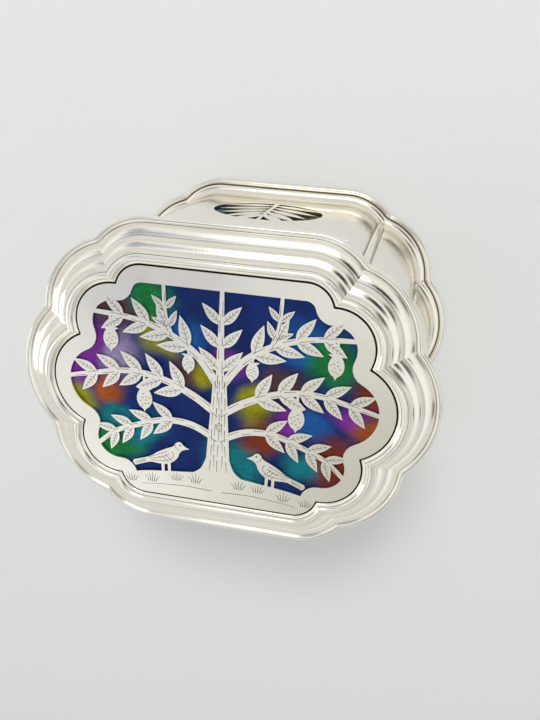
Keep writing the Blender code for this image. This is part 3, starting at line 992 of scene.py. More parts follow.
def patch_group() -> bpy.types.NodeTree:
    """One soft patch of colour laid over another colour.

    Returns:
        The group.
    """
    group = new_group(
        "soft_patch",
        [("Vector", VECTOR), ("Place", VECTOR), ("Reach", FLOAT), ("Under", COLOUR), ("Patch", COLOUR)],
        [("Color", COLOUR)],
    )
    w = Wiring(group)
    given = w.add("NodeGroupInput").outputs
    ends = {0: given["Vector"], 1: given["Place"]}
    gap = w.add("ShaderNodeVectorMath", ends, operation="DISTANCE").outputs["Value"]
    weight = w.spread(w.maths("DIVIDE", gap, given["Reach"]), 0.25, 1.0, 1.0, 0.0, "SMOOTHERSTEP")
    w.add("NodeGroupOutput", {"Color": w.blend(weight, given["Under"], given["Patch"])})
    return group


@dataclass(frozen=True)
class Patch:
    """A soft area of colour on the coloured sheet or in the studio's room.

    Attributes:
        place: Its middle, in metres on the sheet, or its direction in the room.
        reach: How far it fades out.
        colour: Its colour.
    """

    place: tuple[float, float, float]
    reach: float
    colour: Colour


@dataclass
class Workshop:
    """The shader groups that the finishes share.

    Attributes:
        polish: Hand polish.
        tarnish_and_shade: Tarnishing with painted shade in grooves, and bright edges.
        patch: A soft patch of colour.
    """

    polish: bpy.types.NodeTree = field(default_factory=polish_group)
    tarnish_and_shade: bpy.types.NodeTree = field(default_factory=tarnish_and_shade_group)
    patch: bpy.types.NodeTree = field(default_factory=patch_group)

    def start(self, name: str) -> tuple[bpy.types.Material, Wiring, bpy.types.Node, bpy.types.NodeSocket]:
        """Starts a material.

        Args:
            name: Its name.

        Returns:
            The material, its wiring, its shader and its object coordinates.
        """
        material = bpy.data.materials.new(name)
        material.use_nodes = True
        w = Wiring(material.node_tree)
        shader = material.node_tree.nodes["Principled BSDF"]
        place = w.add("ShaderNodeTexCoord").outputs["Object"]
        return material, w, shader, place

    def patched(self, w: Wiring, place: object, ground: object, patches: Sequence[Patch]) -> object:
        """Lays patches of colour one over the other.

        Args:
            w: The wiring of the material or world.
            place: The coordinates that the patches are placed on.
            ground: The colour under them.
            patches: The patches.

        Returns:
            The colour.
        """
        colour = ground
        for patch in patches:
            inputs = {"Vector": place, "Place": patch.place, "Reach": patch.reach, "Under": colour}
            inputs["Patch"] = (*patch.colour, 1.0)
            colour = w.add("ShaderNodeGroup", inputs, node_tree=self.patch).outputs["Color"]
        return colour


@dataclass(frozen=True)
class SilverFinish:
    """Silver, from mirror polish to satin.

    Attributes:
        name: The finish's name.
        bright: Colour of the clean metal.
        film_and_shade: Colour painted in grooves, a warm tarnishing with painted shade.
        roughness: Roughness of the clean metal.
        wear: Added roughness where it is handled.
        wave: Height of the slow unevenness.
        mark: Height of the fine polishing marks.
        fine_scale: How closely the polishing marks lie.
        cloud_scale: How closely the cloudy areas of sheen lie.
    """

    name: str
    bright: Colour = (0.955, 0.935, 0.875)
    film_and_shade: Colour = (0.105, 0.085, 0.050)
    roughness: float = 0.085
    wear: float = 0.06
    wave: float = 0.00035
    mark: float = 0.000004
    fine_scale: float = 900.0
    cloud_scale: float = 60.0

    def material(self, shop: Workshop) -> bpy.types.Material:
        """Builds the material.

        Args:
            shop: The shared shader groups.

        Returns:
            The material.
        """
        material, w, shader, place = shop.start(self.name)
        scales = {"Vector": place, "Fine Scale": self.fine_scale, "Cloud Scale": self.cloud_scale}
        polish = w.add("ShaderNodeGroup", scales, node_tree=shop.polish).outputs
        # Grooves go towards the dark colour: tarnishing with painted shade.
        colours = {"Bright": (*self.bright, 1.0), "Film and Shade": (*self.film_and_shade, 1.0), "Cloud": polish["Sheen"]}
        worn_and_shaded = w.add("ShaderNodeGroup", colours, node_tree=shop.tarnish_and_shade).outputs
        rough = w.maths("ADD", w.maths("MULTIPLY", polish["Sheen"], self.wear), self.roughness)
        rough = w.maths("ADD", rough, w.maths("MULTIPLY", worn_and_shaded["Groove"], 0.25))
        rubbed = w.maths("MULTIPLY", worn_and_shaded["Edge"], 0.4 * self.roughness)
        rough = w.maths("SUBTRACT", rough, rubbed, clamp=True)
        normal = {}
        for height, distance in (("Waves", self.wave), ("Marks", self.mark)):
            inputs = {"Height": polish[height], "Strength": 1.0, "Distance": distance, **normal}
            normal = {"Normal": w.add("ShaderNodeBump", inputs).outputs[0]}
        shader.inputs["Metallic"].default_value = 1.0
        w.tree.links.new(worn_and_shaded["Color"], shader.inputs["Base Color"])
        w.tree.links.new(rough, shader.inputs["Roughness"])
        w.tree.links.new(normal["Normal"], shader.inputs["Normal"])
        return material


PURPLE: Colour = (0.22, 0.03, 0.35)
OLIVE: Colour = (0.31, 0.30, 0.01)
TEAL: Colour = (0.005, 0.19, 0.24)
GREEN: Colour = (0.01, 0.20, 0.045)
NAVY: Colour = (0.006, 0.025, 0.15)
AZURE: Colour = (0.01, 0.10, 0.36)
RED_BROWN: Colour = (0.20, 0.032, 0.010)
ORANGE: Colour = (0.36, 0.085, 0.015)
LILAC: Colour = (0.34, 0.27, 0.48)
UMBER: Colour = (0.10, 0.045, 0.045)
SHEET_LEVEL = 0.1013  # height of the lid's coloured sheet
LID_PATCHES = tuple(
    Patch((x * MM, y * MM, SHEET_LEVEL), reach * MM, colour)
    for x, y, reach, colour in (
        (-52, 8, 17, PURPLE), (-52, -8, 12, OLIVE), (-40, 24, 13, UMBER), (-37, 10, 9, LILAC),
        (-39, -1, 9, ORANGE), (-37, -12, 9, TEAL), (-36, -24, 13, GREEN), (-26, -16, 10, TEAL),
        (-24, 31, 14, GREEN), (-23, 17, 11, OLIVE), (-12, 22, 11, AZURE), (-14, 6, 10, UMBER),
        (-6, 8, 9, OLIVE), (4, 12, 10, PURPLE), (12, 28, 16, NAVY), (26, 24, 13, AZURE),
        (36, 18, 13, GREEN), (22, 6, 12, UMBER), (12, -3, 10, OLIVE), (14, -15, 11, RED_BROWN),
        (24, -8, 9, PURPLE), (6, -26, 16, TEAL), (32, -8, 10, AZURE), (52, 8, 14, RED_BROWN),
        (46, -2, 10, PURPLE), (54, -8, 12, ORANGE), (40, -22, 15, RED_BROWN), (28, -24, 10, TEAL),
    )
)
WINDOW_PATCHES = tuple(
    Patch((x * MM, y * MM, z * MM), reach * MM, colour)
    for x, y, z, reach, colour in (
        (16, 50, 30, 14, OLIVE), (4, 50, 44, 16, TEAL), (-12, 50, 34, 18, AZURE),
        (-18, 50, 46, 10, GREEN), (-10, -50, 44, 18, PURPLE), (12, -50, 32, 18, TEAL),
        (-14, -50, 28, 14, OLIVE), (14, -50, 48, 12, RED_BROWN),
    )
)


@dataclass(frozen=True)
class RainbowFinish:
    """Coloured metal sheet: soft areas of colour that flow into each other.

    Attributes:
        name: The finish's name.
        ground: The colour under the patches.
        patches: The areas of colour, laid one over the other.
        painted_gap_shade: Colour painted on the sheet's edge as the shade of the deep gap under the lip.
        flow: How far the areas are drawn out of shape, in metres.
    """

    name: str
    ground: Colour
    patches: tuple[Patch, ...]
    painted_gap_shade: Colour = (0.020, 0.012, 0.009)
    flow: float = 0.010

    def material(self, shop: Workshop) -> bpy.types.Material:
        """Builds the material.

        Args:
            shop: The shared shader groups.

        Returns:
            The material.
        """
        material, w, shader, place = shop.start(self.name)
        drift = w.add("ShaderNodeTexNoise", {"Vector": place, "Scale": 38.0, "Detail": 2.0}).outputs["Color"]
        shift = w.add("ShaderNodeVectorMath", {0: drift, 1: (0.5, 0.5, 0.5)}, operation="SUBTRACT")
        drawn = {0: shift.outputs[0], "Scale": 2 * self.flow}
        scaled = w.add("ShaderNodeVectorMath", drawn, operation="SCALE").outputs[0]
        moved = w.add("ShaderNodeVectorMath", {0: place, 1: scaled}, operation="ADD").outputs[0]
        colour = shop.patched(w, moved, (*self.ground, 1.0), self.patches)
        grain = w.spread(w.noise(place, 700.0, 4.0), 0.3, 0.7, 0.82, 1.12)
        clouds = w.spread(w.noise(place, 120.0, 3.0), 0.3, 0.7, 0.75, 1.2)
        tint = {"Color": colour, "Value": w.maths("MULTIPLY", grain, clouds), "Saturation": 1.0}
        tinted = w.add("ShaderNodeHueSaturation", tint).outputs[0]
        relief = w.add("ShaderNodeAttribute", attribute_name=RELIEF).outputs["Fac"]
        # Painted shade: the sheet's edge, deep in the gap under the lip, is painted near black.
        painted_gap_shade = w.spread(relief, -1.0, 0.0, 1.0, 0.0)
        rough = w.spread(w.noise(place, 300.0, 4.0), 0.3, 0.7, 0.30, 0.42)
        w.tree.links.new(w.blend(painted_gap_shade, tinted, (*self.painted_gap_shade, 1.0)), shader.inputs["Base Color"])
        w.tree.links.new(rough, shader.inputs["Roughness"])
        shader.inputs["Metallic"].default_value = 0.75
        return material


# Sub-assemblies


@dataclass
class BoxShell:
    """Lobed shell on its moulded foot, open at the top and pierced front and back.

    Attributes:
        outline: The plate's outline.
        height: Height of the wall's top.
        wall_offset: Outer face of the wall, outwards from the plate's edge.
        wall: Thickness of the wall.
        floor_lift: Height of the floor's underside.
        floor: Thickness of the floor.
        foot_reach: Outermost line of the foot.
        foot_bead: Radius of the foot's bead.
        foot_flat: Width of the flat ring that it stands on.
        cove: Height of the hollow that runs from the foot's groove into the wall.
        rod: Radius of the rods that stand in the wall's hollow corners.
        rod_foot: Share of that radius with which they rise from the foot's groove.
        fillet: Radius between the wall and the floor inside.
        soft: Radius of small rounded edges.
    """

    outline: LobedOutline
    height: float
    wall_offset: float
    foot_reach: float
    wall: float = 0.0009
    floor_lift: float = 0.0020
    floor: float = 0.0012
    foot_bead: float = 0.0012
    foot_flat: float = 0.0020
    cove: float = 0.0044
    rod: float = 0.0017
    rod_foot: float = 0.12
    fillet: float = 0.0010
    soft: float = 0.0002

    def outer_section(self) -> Section:
        """Draws the foot and the hollow above it, from the floor's underside outwards.

        Returns:
            The section so far.
        """
        pen = Section()
        bead_at = self.foot_reach - self.foot_bead
        inner = bead_at - self.foot_flat
        top = 2 * self.foot_bead
        pen.to(inner - 2 * self.soft, self.floor_lift, RIM_CUSP, -0.6)
        pen.to(inner - self.soft, self.floor_lift - self.soft, RIM_CUSP, -0.4)
        pen.to(inner, self.soft, RIM_CUSP)
        pen.to(inner + self.soft, 0.0, RIM_CUSP)
        pen.to(bead_at - self.soft, 0.0, RIM_CUSP)
        pen.round(bead_at, self.foot_bead, self.foot_bead, (-90, 132), RIM_CUSP, 18)
        groove = bead_at - 0.80 * self.foot_bead
        pen.to(groove, top - 0.0006, RIM_CUSP, -1.0)
        pen.to(groove - 0.00018, top - 0.0006, RIM_CUSP, -1.0)
        pen.to(groove - 0.00034, top - 0.0003, 0.9 * RIM_CUSP, -0.6)
        start, steps = groove - 0.0005, 16
        for i in range(steps + 1):
            turn = math.pi / 2 * i / steps
            offset = start - (start - self.wall_offset) * math.sin(turn)
            level = top + 0.0001 + self.cove * (1 - math.cos(turn))
            rod = self.rod * (self.rod_foot + (1 - self.rod_foot) * i / steps)
            pen.to(offset, level, -rod, -0.25 if i < 2 else 0.0)
        return pen

    def stations(self) -> list[Station]:
        """Draws the whole section: foot, wall, rim and the inside down to the floor.

        Returns:
            Its stations.
        """
        pen = self.outer_section()
        outer, inner = self.wall_offset, self.wall_offset - self.wall
        cusp = WALL_CUSP + self.wall
        floor_top = self.floor_lift + self.floor
        pen.to(outer, 0.5 * self.height, -self.rod)
        pen.to(outer, self.height - 2 * self.soft, -self.rod)
        pen.round(outer - self.soft, self.height - self.soft, self.soft, (0, 90), -self.rod, 3)
        pen.round(inner + self.soft, self.height - self.soft, self.soft, (90, 180), cusp, 3)
        pen.to(inner, 0.5 * self.height, cusp)
        pen.to(inner, floor_top + 2 * self.fillet, cusp)
        steps = 6
        for i in range(steps + 1):
            turn = math.pi / 2 * i / steps
            aside, rise = self.fillet * (1 - math.cos(turn)), self.fillet * (1 - math.sin(turn))
            pen.to(inner - aside, floor_top + rise, cusp, -0.25)
        pen.to(inner - 2 * self.fillet, floor_top, cusp)
        return pen.stations

    def build(
        self, silver: bpy.types.Material, inside: bpy.types.Material, cut: bpy.types.Material
    ) -> bpy.types.Object:
        """Models the shell and pierces its windows.

        Args:
            silver: Finish of the outside.
            inside: Finish of the inside.
            cut: Finish of the sawn edges, painted dark with shade.

        Returns:
            The piece.
        """
        shell = wrap_moulding(self.outline, self.stations(), closed=False)
        reach = self.outline.width / 2 + self.wall_offset - self.wall / 2
        combine(shell, "DIFFERENCE", PiercedWindow().cutter(2.2 * reach))
        self.mark_inside(shell)
        polish_shading(shell)
        return settle_piece(shell, "box_shell", [silver, inside, cut], Body.BOX, "body")

    def mark_inside(self, shell: bpy.types.Object) -> None:
        """Gives the faces inside the box and in the sawn windows their own finishes.

        Args:
            shell: The pierced shell.
        """
        middle = self.wall_offset - self.wall / 2
        border = [Vector(p) for p in self.outline.ring(middle, WALL_CUSP)]
        wall_y = self.outline.width / 2 + middle
        window = PiercedWindow()
        for face in shell.data.polygons:
            centre = face.center
            if centre.z < self.floor_lift + 0.5 * self.floor:
                continue
            in_window = abs(abs(centre.y) - wall_y) < 0.45 * self.wall and abs(face.normal.y) < 0.5
            if in_window and window.holds(centre):
                # The sawn edges take the dark finish: painted shade.
                face.material_index = 2
            elif point_in(centre, border):
                face.material_index = 1


@dataclass(frozen=True)
class PiercedWindow:
    """Oval window with a spray of leaves, sawn through each long wall.

    Attributes:
        half_width: Half its width in millimetres.
        half_height: Half its height.
        centre: Height of its middle.
        stem: Width of the stem.
        leaf_width: Width of a leaf.
        pairs: Pairs of leaves.
        feet: Foot of the lowest and highest leaf, as shares of the half height.
        angles: Their angles in degrees.
        overlap: How far leaves and stem reach, as a share of the way to the edge.
    """

    half_width: float = 21.5
    half_height: float = 18.5
    centre: float = 36.5
    stem: float = 1.9
    leaf_width: float = 4.8
    pairs: int = 5
    feet: tuple[float, float] = (-0.95, 0.50)
    angles: tuple[float, float] = (12.0, 62.0)
    overlap: tuple[float, float] = (1.06, 1.1)

    def holds(self, place: Vector) -> bool:
        """Whether a point on the wall lies in the oval."""
        x, z = place.x / MM / self.half_width, (place.z / MM - self.centre) / self.half_height
        return x * x + z * z < 1.02

    def fretwork(self) -> Fretwork:
        """Draws the oval with its stem and leaves.

        Returns:
            The drawing.
        """
        edge = oval((0.0, 0.0), self.half_width, self.half_height, 0.0, 72)
        spray = Fretwork(rim=edge, field=edge)
        for i in range(self.pairs):
            share = (i + 0.5) / self.pairs
            foot = self.half_height * (self.feet[0] + (self.feet[1] - self.feet[0]) * share)
            angle = self.angles[0] + (self.angles[1] - self.angles[0]) * share
            turn = math.radians(angle)
            to_edge = math.hypot(self.half_width * math.cos(turn), self.half_height * math.sin(turn))
            leaf = Leaf((0.0, foot), angle, self.overlap[0] * to_edge, self.leaf_width, 0.04, steps=12)
            spray.metal.append(leaf.outline())
        spray.metal += [mirrored(shape) for shape in spray.metal]
        stem_end = self.overlap[1] * self.half_height
        spray.metal.append(ribbon([(0.0, -stem_end), (0.0, stem_end)], (self.stem, 0.7 * self.stem)))
        return spray

    def cutter(self, depth: float) -> bpy.types.Object:
        """The holes as a block that goes through both walls.

        Args:
            depth: The block's depth along Y.

        Returns:
            The cutter.
        """
        spray = self.fretwork()
        corners, triangles, marks = spray.solve(lambda inside: 0 if inside <= {0, 1} and inside else -1)
        block = flat_sheet(corners, triangles, marks, 0.0)
        thicken(block, depth)
        block.rotation_euler = (math.pi / 2, 0.0, 0.0)
        block.location = (0.0, depth / 2, self.centre * MM)
        settle(block)
        return block


@dataclass
class LidMoulding:
    """The lid's wide moulded frame: lip, ogee, double step, band and rim bead.

    Attributes:
        outline: The plate's outline.
        face: Height of the plate's face.
        underside: Height of the flange that rests on the wall.
        plate: Thickness of the plate.
        gap: Gap between the plate's edge and the lip's crest.
        seat: The same gap at the plate's own level, where the lip slopes in.
        lip: Width of the lip.
        lip_rise: How far the lip stands above the plate.
        quirk_drop: Depth of the line behind the lip, from its top.
        ogee_width: Width of the ogee.
        ogee_fall: Its fall.
        ogee_bend: Share by which its ends are steeper and its middle flatter.
        step: Width of the double step.
        step_fall: Its fall.
        band: Width of the outer band.
        band_fall: Its fall.
        crown: How far the band stands proud.
        bead: Radius of the rim bead.
        bead_overlap: How far the bead runs into the band's groove.
        flange: Offset of the flange's inner edge.
        gauge: Thickness of the sheet.
    """

    outline: LobedOutline
    face: float
    underside: float
    plate: float = 0.0010
    gap: float = 0.0015
    seat: float = 0.0005
    lip: float = 0.0024
    lip_rise: float = 0.0016
    quirk_drop: float = 0.0011
    ogee_width: float = 0.0050
    ogee_fall: float = 0.0039
    ogee_bend: float = 0.55
    step: float = 0.0003
    step_fall: float = 0.0006
    band: float = 0.0035
    band_fall: float = 0.0019
    crown: float = 0.0003
    bead: float = 0.0011
    bead_overlap: float = 0.0001
    flange: float = 0.0065
    gauge: float = 0.0010

    def stations(self) -> list[Station]:
        """Draws the closed section, from the lip's inner foot outwards, round the rim and back inside.

        Returns:
            Its stations.
        """
        pen = Section(self.face)
        radius = self.lip / 2
        middle, crest = self.gap + radius, self.lip_rise - radius
        # Relief -1 on the lip's foot paints the gap beside the plate dark: painted shade.
        pen.to(self.seat, -self.plate, SHARP_CUSP, -1.0)
        pen.to(self.seat, -0.45 * self.plate, SHARP_CUSP, -0.9)
        pen.to(self.seat + 0.00006, -0.2 * self.plate, SHARP_CUSP, -0.3)
        places = ((self.seat + 0.00018, 0.0), (self.seat + 0.00040, 0.35 * crest), (self.gap, 0.8 * crest))
        pen.sweep(places, (SHARP_CUSP, SHARP_CUSP))
        pen.round(middle, crest, radius, (176, 12), SHARP_CUSP, 16)
        quirk, quirk_level = self.gap + self.lip, self.lip_rise - self.quirk_drop
        pen.to(quirk + 0.00002, quirk_level - 0.00008, SHARP_CUSP, -1.0)
        pen.to(quirk + 0.00018, quirk_level, SHARP_CUSP, -0.2)
        end, end_level = quirk + self.ogee_width, quirk_level - self.ogee_fall
        places = ogee((quirk + 0.0003, quirk_level), (end - 0.0001, end_level + 0.00015), self.ogee_bend, 24)
        pen.sweep(places, (SHARP_CUSP, SHARP_CUSP))
        tread, riser = self.step / 2, self.step_fall / 2
        for i in range(2):
            pen.to(end + tread * i, end_level - riser * i, SHARP_CUSP, 0.6)
            pen.to(end + tread * (i + 0.35), end_level - riser * (i + 0.9), SHARP_CUSP, -1.0)
        band, band_level = end + self.step, end_level - self.step_fall
        groove, groove_level = band + self.band, band_level - self.band_fall
        places = crowned((band, band_level), (groove - 0.0002, groove_level + 0.00008), self.crown, 14)
        pen.sweep(places, (SHARP_CUSP, WALL_CUSP))
        pen.to(groove - 0.00003, groove_level - 0.00010, WALL_CUSP, -1.0)
        bead_at = groove + self.bead - self.bead_overlap
        under = self.underside - self.face
        bead_level = under + self.bead
        pen.round(bead_at, bead_level, self.bead, (148, 86), RIM_CUSP, 6)
        line = math.radians(78)
        reach = 0.92 * self.bead
        pen.to(bead_at + reach * math.cos(line), bead_level + reach * math.sin(line), RIM_CUSP, -1.0)
        pen.round(bead_at, bead_level, self.bead, (70, -90), RIM_CUSP, 16)
        inner_cusp = SHARP_CUSP
        pen.to(self.flange + 0.0002, under, inner_cusp)
        pen.to(self.flange, under + 0.0002, inner_cusp)
        pen.to(self.flange, under + self.gauge - 0.0002, inner_cusp)
        pen.to(self.flange + 0.0002, under + self.gauge, inner_cusp)
        hollow = groove - self.gauge
        pen.to(hollow - 0.0003, under + self.gauge, WALL_CUSP, -0.6)
        pen.to(hollow, under + self.gauge + 0.0003, WALL_CUSP, -0.6)
        pen.to(hollow, groove_level, WALL_CUSP)
        pen.to(end - self.gauge / 2, band_level - self.gauge, SHARP_CUSP)
        shoulder = (quirk + self.ogee_width / 2, quirk_level - self.ogee_fall / 2 - self.gauge)
        start = (quirk + self.gauge, -self.plate)
        inner = crowned((end - self.gauge / 2, band_level - self.gauge), shoulder, 0.0001, 3)[1:]
        pen.sweep(inner, (SHARP_CUSP, SHARP_CUSP))
        pen.to(*start, SHARP_CUSP, -0.4)
        return pen.stations

    def build(self, silver: bpy.types.Material) -> bpy.types.Object:
        """Models the moulding.

        Args:
            silver: Its finish.

        Returns:
            The piece.
        """
        frame_piece = wrap_moulding(self.outline, self.stations(), closed=True)
        polish_shading(frame_piece)
        return settle_piece(frame_piece, "lid_moulding", [silver], Body.LID, "lid_frame")


@dataclass(frozen=True)
class Bough:
    """A branch of the plate's tree, with its leaves.

    Places are shares of the plate's half length and half width; sizes are shares of its half width.

    Attributes:
        route: Points along the branch.
        taper: Width at its foot and at its tip.
        pairs: Pairs of leaves.
        span: Share of the branch at the first and last pair.
        leaf: Length and width of a leaf.
        spread: Angle between leaf and branch in degrees.
    """

    route: tuple[Point, ...]
    taper: tuple[float, float]
    pairs: int
    span: tuple[float, float]
    leaf: tuple[float, float]
    spread: float


UPPER_BOUGH = Bough(
    ((0.0, 0.07), (-0.13, 0.32), (-0.30, 0.48), (-0.50, 0.57), (-0.76, 0.60)),
    (0.072, 0.036), 4, (0.34, 0.81), (0.29, 0.105), 42.0,
)
MIDDLE_BOUGH = Bough(
    ((0.0, -0.17), (-0.16, -0.02), (-0.35, 0.09), (-0.55, 0.12), (-0.77, 0.06), (-0.95, 0.0)),
    (0.072, 0.034), 5, (0.26, 0.77), (0.28, 0.105), 42.0,
)
LOWER_BOUGH = Bough(
    ((0.0, -0.40), (-0.16, -0.29), (-0.33, -0.28), (-0.50, -0.36), (-0.64, -0.45), (-0.76, -0.60)),
    (0.066, 0.036), 4, (0.34, 0.78), (0.25, 0.095), 44.0,
)
TWIG = Bough(
    ((-0.28, 0.46), (-0.32, 0.64), (-0.33, 0.93)), (0.034, 0.028), 2, (0.26, 0.58), (0.17, 0.062), 48.0,
)
LEADER = Bough(
    ((0.0, 0.10), (0.0, 0.35), (0.0, 0.61), (0.0, 0.93)), (0.075, 0.030), 3, (0.18, 0.66), (0.27, 0.096), 48.0
)


@dataclass
class TreePlate:
    """The lid's flat silver plate, sawn and engraved with a citron tree and a pair of doves.

    Attributes:
        outline: The plate's outline.
        face: Height of its face.
        thickness: Its thickness.
        border: Width of its border.
        line: Width of an engraved line in millimetres.
        depth: Depth of an engraved line.
        citrons: Place, length and stem top of each fruit.
        dove: Place of a dove's feet and its size.
        trunk_taper: Width of the trunk at its foot and top.
    """

    outline: LobedOutline
    face: float
    thickness: float
    border: float = 0.0056
    line: float = 0.26
    depth: float = 0.00022
    citrons: tuple[tuple[float, float, float, float], ...] = (
        (-0.185, 0.25, 0.14, 0.42), (-0.45, -0.11, 0.18, 0.12), (-0.645, 0.38, 0.17, 0.60),
    )
    dove: tuple[float, float, float] = (-0.33, -0.765, 0.40)
    trunk_taper: tuple[float, float] = (0.25, 0.11)

    @property
    def wide(self) -> float:
        """Half the plate's length in millimetres."""
        return self.outline.length / 2 / MM

    @property
    def high(self) -> float:
        """Half the plate's width in millimetres."""
        return self.outline.width / 2 / MM

    def spot(self, x: float, y: float) -> Point:
        """A place given as shares of the half length and half width."""
        return x * self.wide, y * self.high

    def add_bough(self, sheet: Fretwork, bough: Bough) -> None:
        """Draws a branch with its bark lines and leaves.

        Args:
            sheet: The drawing.
            bough: The branch.
        """
        route = spline([self.spot(*p) for p in bough.route], 7)
        taper = (bough.taper[0] * self.high, bough.taper[1] * self.high)
        sheet.metal.append(ribbon(route, taper))
        for i in range(bough.pairs):
            share = bough.span[0] + (bough.span[1] - bough.span[0]) * i / max(bough.pairs - 1, 1)
            foot, angle = place_on(route, share)
            size = (1.0 - 0.25 * share) * self.high
            length, width = bough.leaf[0] * size, bough.leaf[1] * size
            for side in (1, -1):
                leaf = Leaf(foot, angle + side * bough.spread, length, width, -0.06 * side)
                sheet.add_leaf(leaf, 0.85 * self.line)
        self.add_bark(sheet, route, taper, max(5, len(route) // 3))

    def add_bark(self, sheet: Fretwork, route: Route, taper: tuple[float, float], count: int) -> None:
        """Engraves short lines along a branch, stepped from side to side.

        Args:
            sheet: The drawing.
            route: The branch's middle line.
            taper: Its width at the start and at the end.
            count: The number of lines.
        """
        border = [Vector(p) for p in sheet.field]
        for i in range(count):
            share = (i + 0.5) / count
            width = taper[0] + (taper[1] - taper[0]) * share
            aside = 0.24 * width * (-1 if i % 2 else 1)
            marks = []
            for step in range(4):
                (x, y), angle = place_on(route, min(share + 0.8 * (step - 1.5) / 3 / count, 0.999))
                turn = math.radians(angle + 90)
                marks.append((x + aside * math.cos(turn), y + aside * math.sin(turn)))
            if point_in(Vector(marks[0]), border) and point_in(Vector(marks[-1]), border):
                sheet.strokes.append(ribbon(marks, (0.9 * self.line, 0.5 * self.line)))

    def add_citron(self, sheet: Fretwork, place: Point, size: float, stem_top: float) -> None:
        """Draws a hanging fruit with its tip, stem and dimpled skin.

        Args:
            sheet: The drawing.
            place: Its middle.
            size: Its length.
            stem_top: Height of the stem's top.
        """
        x, y = place
        knots = [(0.0, -0.66), (0.09, -0.50), (0.24, -0.38), (0.36, -0.12)]
        knots += [(0.35, 0.16), (0.23, 0.42), (0.07, 0.50)]
        half = [(x + u * size, y + v * size) for u, v in spline(knots, 4)]
        other = [(2 * x - u, v) for u, v in reversed(half[1:])]
        sheet.metal.append(half + other)
        sheet.metal.append(ribbon([(x, y + 0.40 * size), (x, stem_top)], (0.13 * size, 0.11 * size)))
        for side in (1, -1):
            sepal = Leaf((x, y + 0.47 * size), 90 - 78 * side, 0.42 * size, 0.15 * size, steps=5)
            sheet.metal.append(sepal.outline())
        for i in range(9):
            turn = 2.4 * i
            reach = 0.105 * size * math.sqrt(i + 0.6)
            spot = (x + 0.85 * reach * math.cos(turn), y - 0.02 * size + 1.15 * reach * math.sin(turn))
            dimple = arc(Vector(spot), 0.055 * size, math.radians(200), math.radians(340), 4)
            sheet.strokes.append(ribbon([(p.x, p.y) for p in dimple], (0.7 * self.line, 0.7 * self.line)))

    def add_dove(self, sheet: Fretwork, feet: Point, size: float) -> None:
        """Draws a standing dove that faces the trunk, with engraved wing and tail.

        Args:
            sheet: The drawing.
            feet: Where it stands.
            size: Its height, nearly.
        """
        head = [(0.55, 0.60), (0.43, 0.665), (0.36, 0.735), (0.27, 0.725), (0.19, 0.62)]
        back = spline([*head, (0.04, 0.545), (-0.16, 0.43), (-0.34, 0.30), (-0.70, 0.165)], 5)
        tail = [(-0.72, 0.10), (-0.66, 0.035)]
        throat = [(0.29, 0.36), (0.335, 0.48), (0.42, 0.565), (0.55, 0.60)]
        belly = spline([tail[-1], (-0.34, 0.165), (-0.16, 0.165), (0.02, 0.17), (0.17, 0.235), *throat], 5)
        body = back + tail + belly[1:-1]

        def placed(points: Sequence[Point]) -> Route:
            """Moves part of the bird to its place."""
            return [(feet[0] + u * size, feet[1] + v * size) for u, v in points]

        sheet.metal.append(placed(body))
        for dx in (-0.04, 0.10):
            sheet.metal.append(placed(ribbon([(dx, 0.28), (dx + 0.01, -0.08)], (0.07, 0.06))))
        lines = [
            spline([(0.16, 0.50), (0.20, 0.40), (0.12, 0.29), (-0.06, 0.24), (-0.30, 0.22)], 4),
            spline([(0.10, 0.42), (-0.04, 0.34), (-0.32, 0.25)], 4),
            spline([(0.06, 0.48), (-0.10, 0.40), (-0.36, 0.275)], 4),
            spline([(0.22, 0.66), (0.27, 0.58), (0.35, 0.54)], 4),
            [(-0.42, 0.19), (-0.66, 0.075)],
            [(-0.42, 0.22), (-0.67, 0.115)],
        ]
        for points in lines:
            sheet.strokes.append(ribbon(placed(points), (0.9 * self.line, 0.6 * self.line)))
        for row in range(3):
            for i in range(3 - row % 2):
                spot = Vector((0.06 - 0.075 * i + 0.05 * row, 0.385 - 0.045 * row - 0.03 * i))
                feather = [(p.x, p.y) for p in arc(spot, 0.03, math.radians(150), math.radians(300), 4)]
                sheet.strokes.append(ribbon(placed(feather), (0.7 * self.line, 0.7 * self.line)))
        eye = (feet[0] + 0.345 * size, feet[1] + 0.665 * size)
        sheet.strokes.append(oval(eye, 0.022 * size, 0.022 * size, 0.0, 8))

    def add_mound(self, sheet: Fretwork) -> None:
        """Draws the left half of the ground with tufts of grass and a ground line.

        Args:
            sheet: The drawing.
        """
        knots = ((0.01, -0.70), (-0.12, -0.73), (-0.23, -0.75), (-0.45, -0.79), (-0.60, -0.845))
        crest = spline([self.spot(*p) for p in knots], 6)
        sheet.metal.append(crest + [self.spot(-0.55, -0.93), self.spot(0.01, -0.93)])
        for i, share in enumerate((0.28, 0.53, 0.70, 0.88)):
            (x, y), _ = place_on(crest, share)
            self.add_tuft(sheet, (x, y - 4.7 + 0.8 * (i % 2)), 3.9 - 0.5 * (i % 2))
        knots = ((-0.03, -0.895), (-0.20, -0.885), (-0.38, -0.905), (-0.48, -0.925))
        low = spline([self.spot(*p) for p in knots], 5)
        sheet.strokes.append(ribbon(low, (self.line, 0.5 * self.line)))

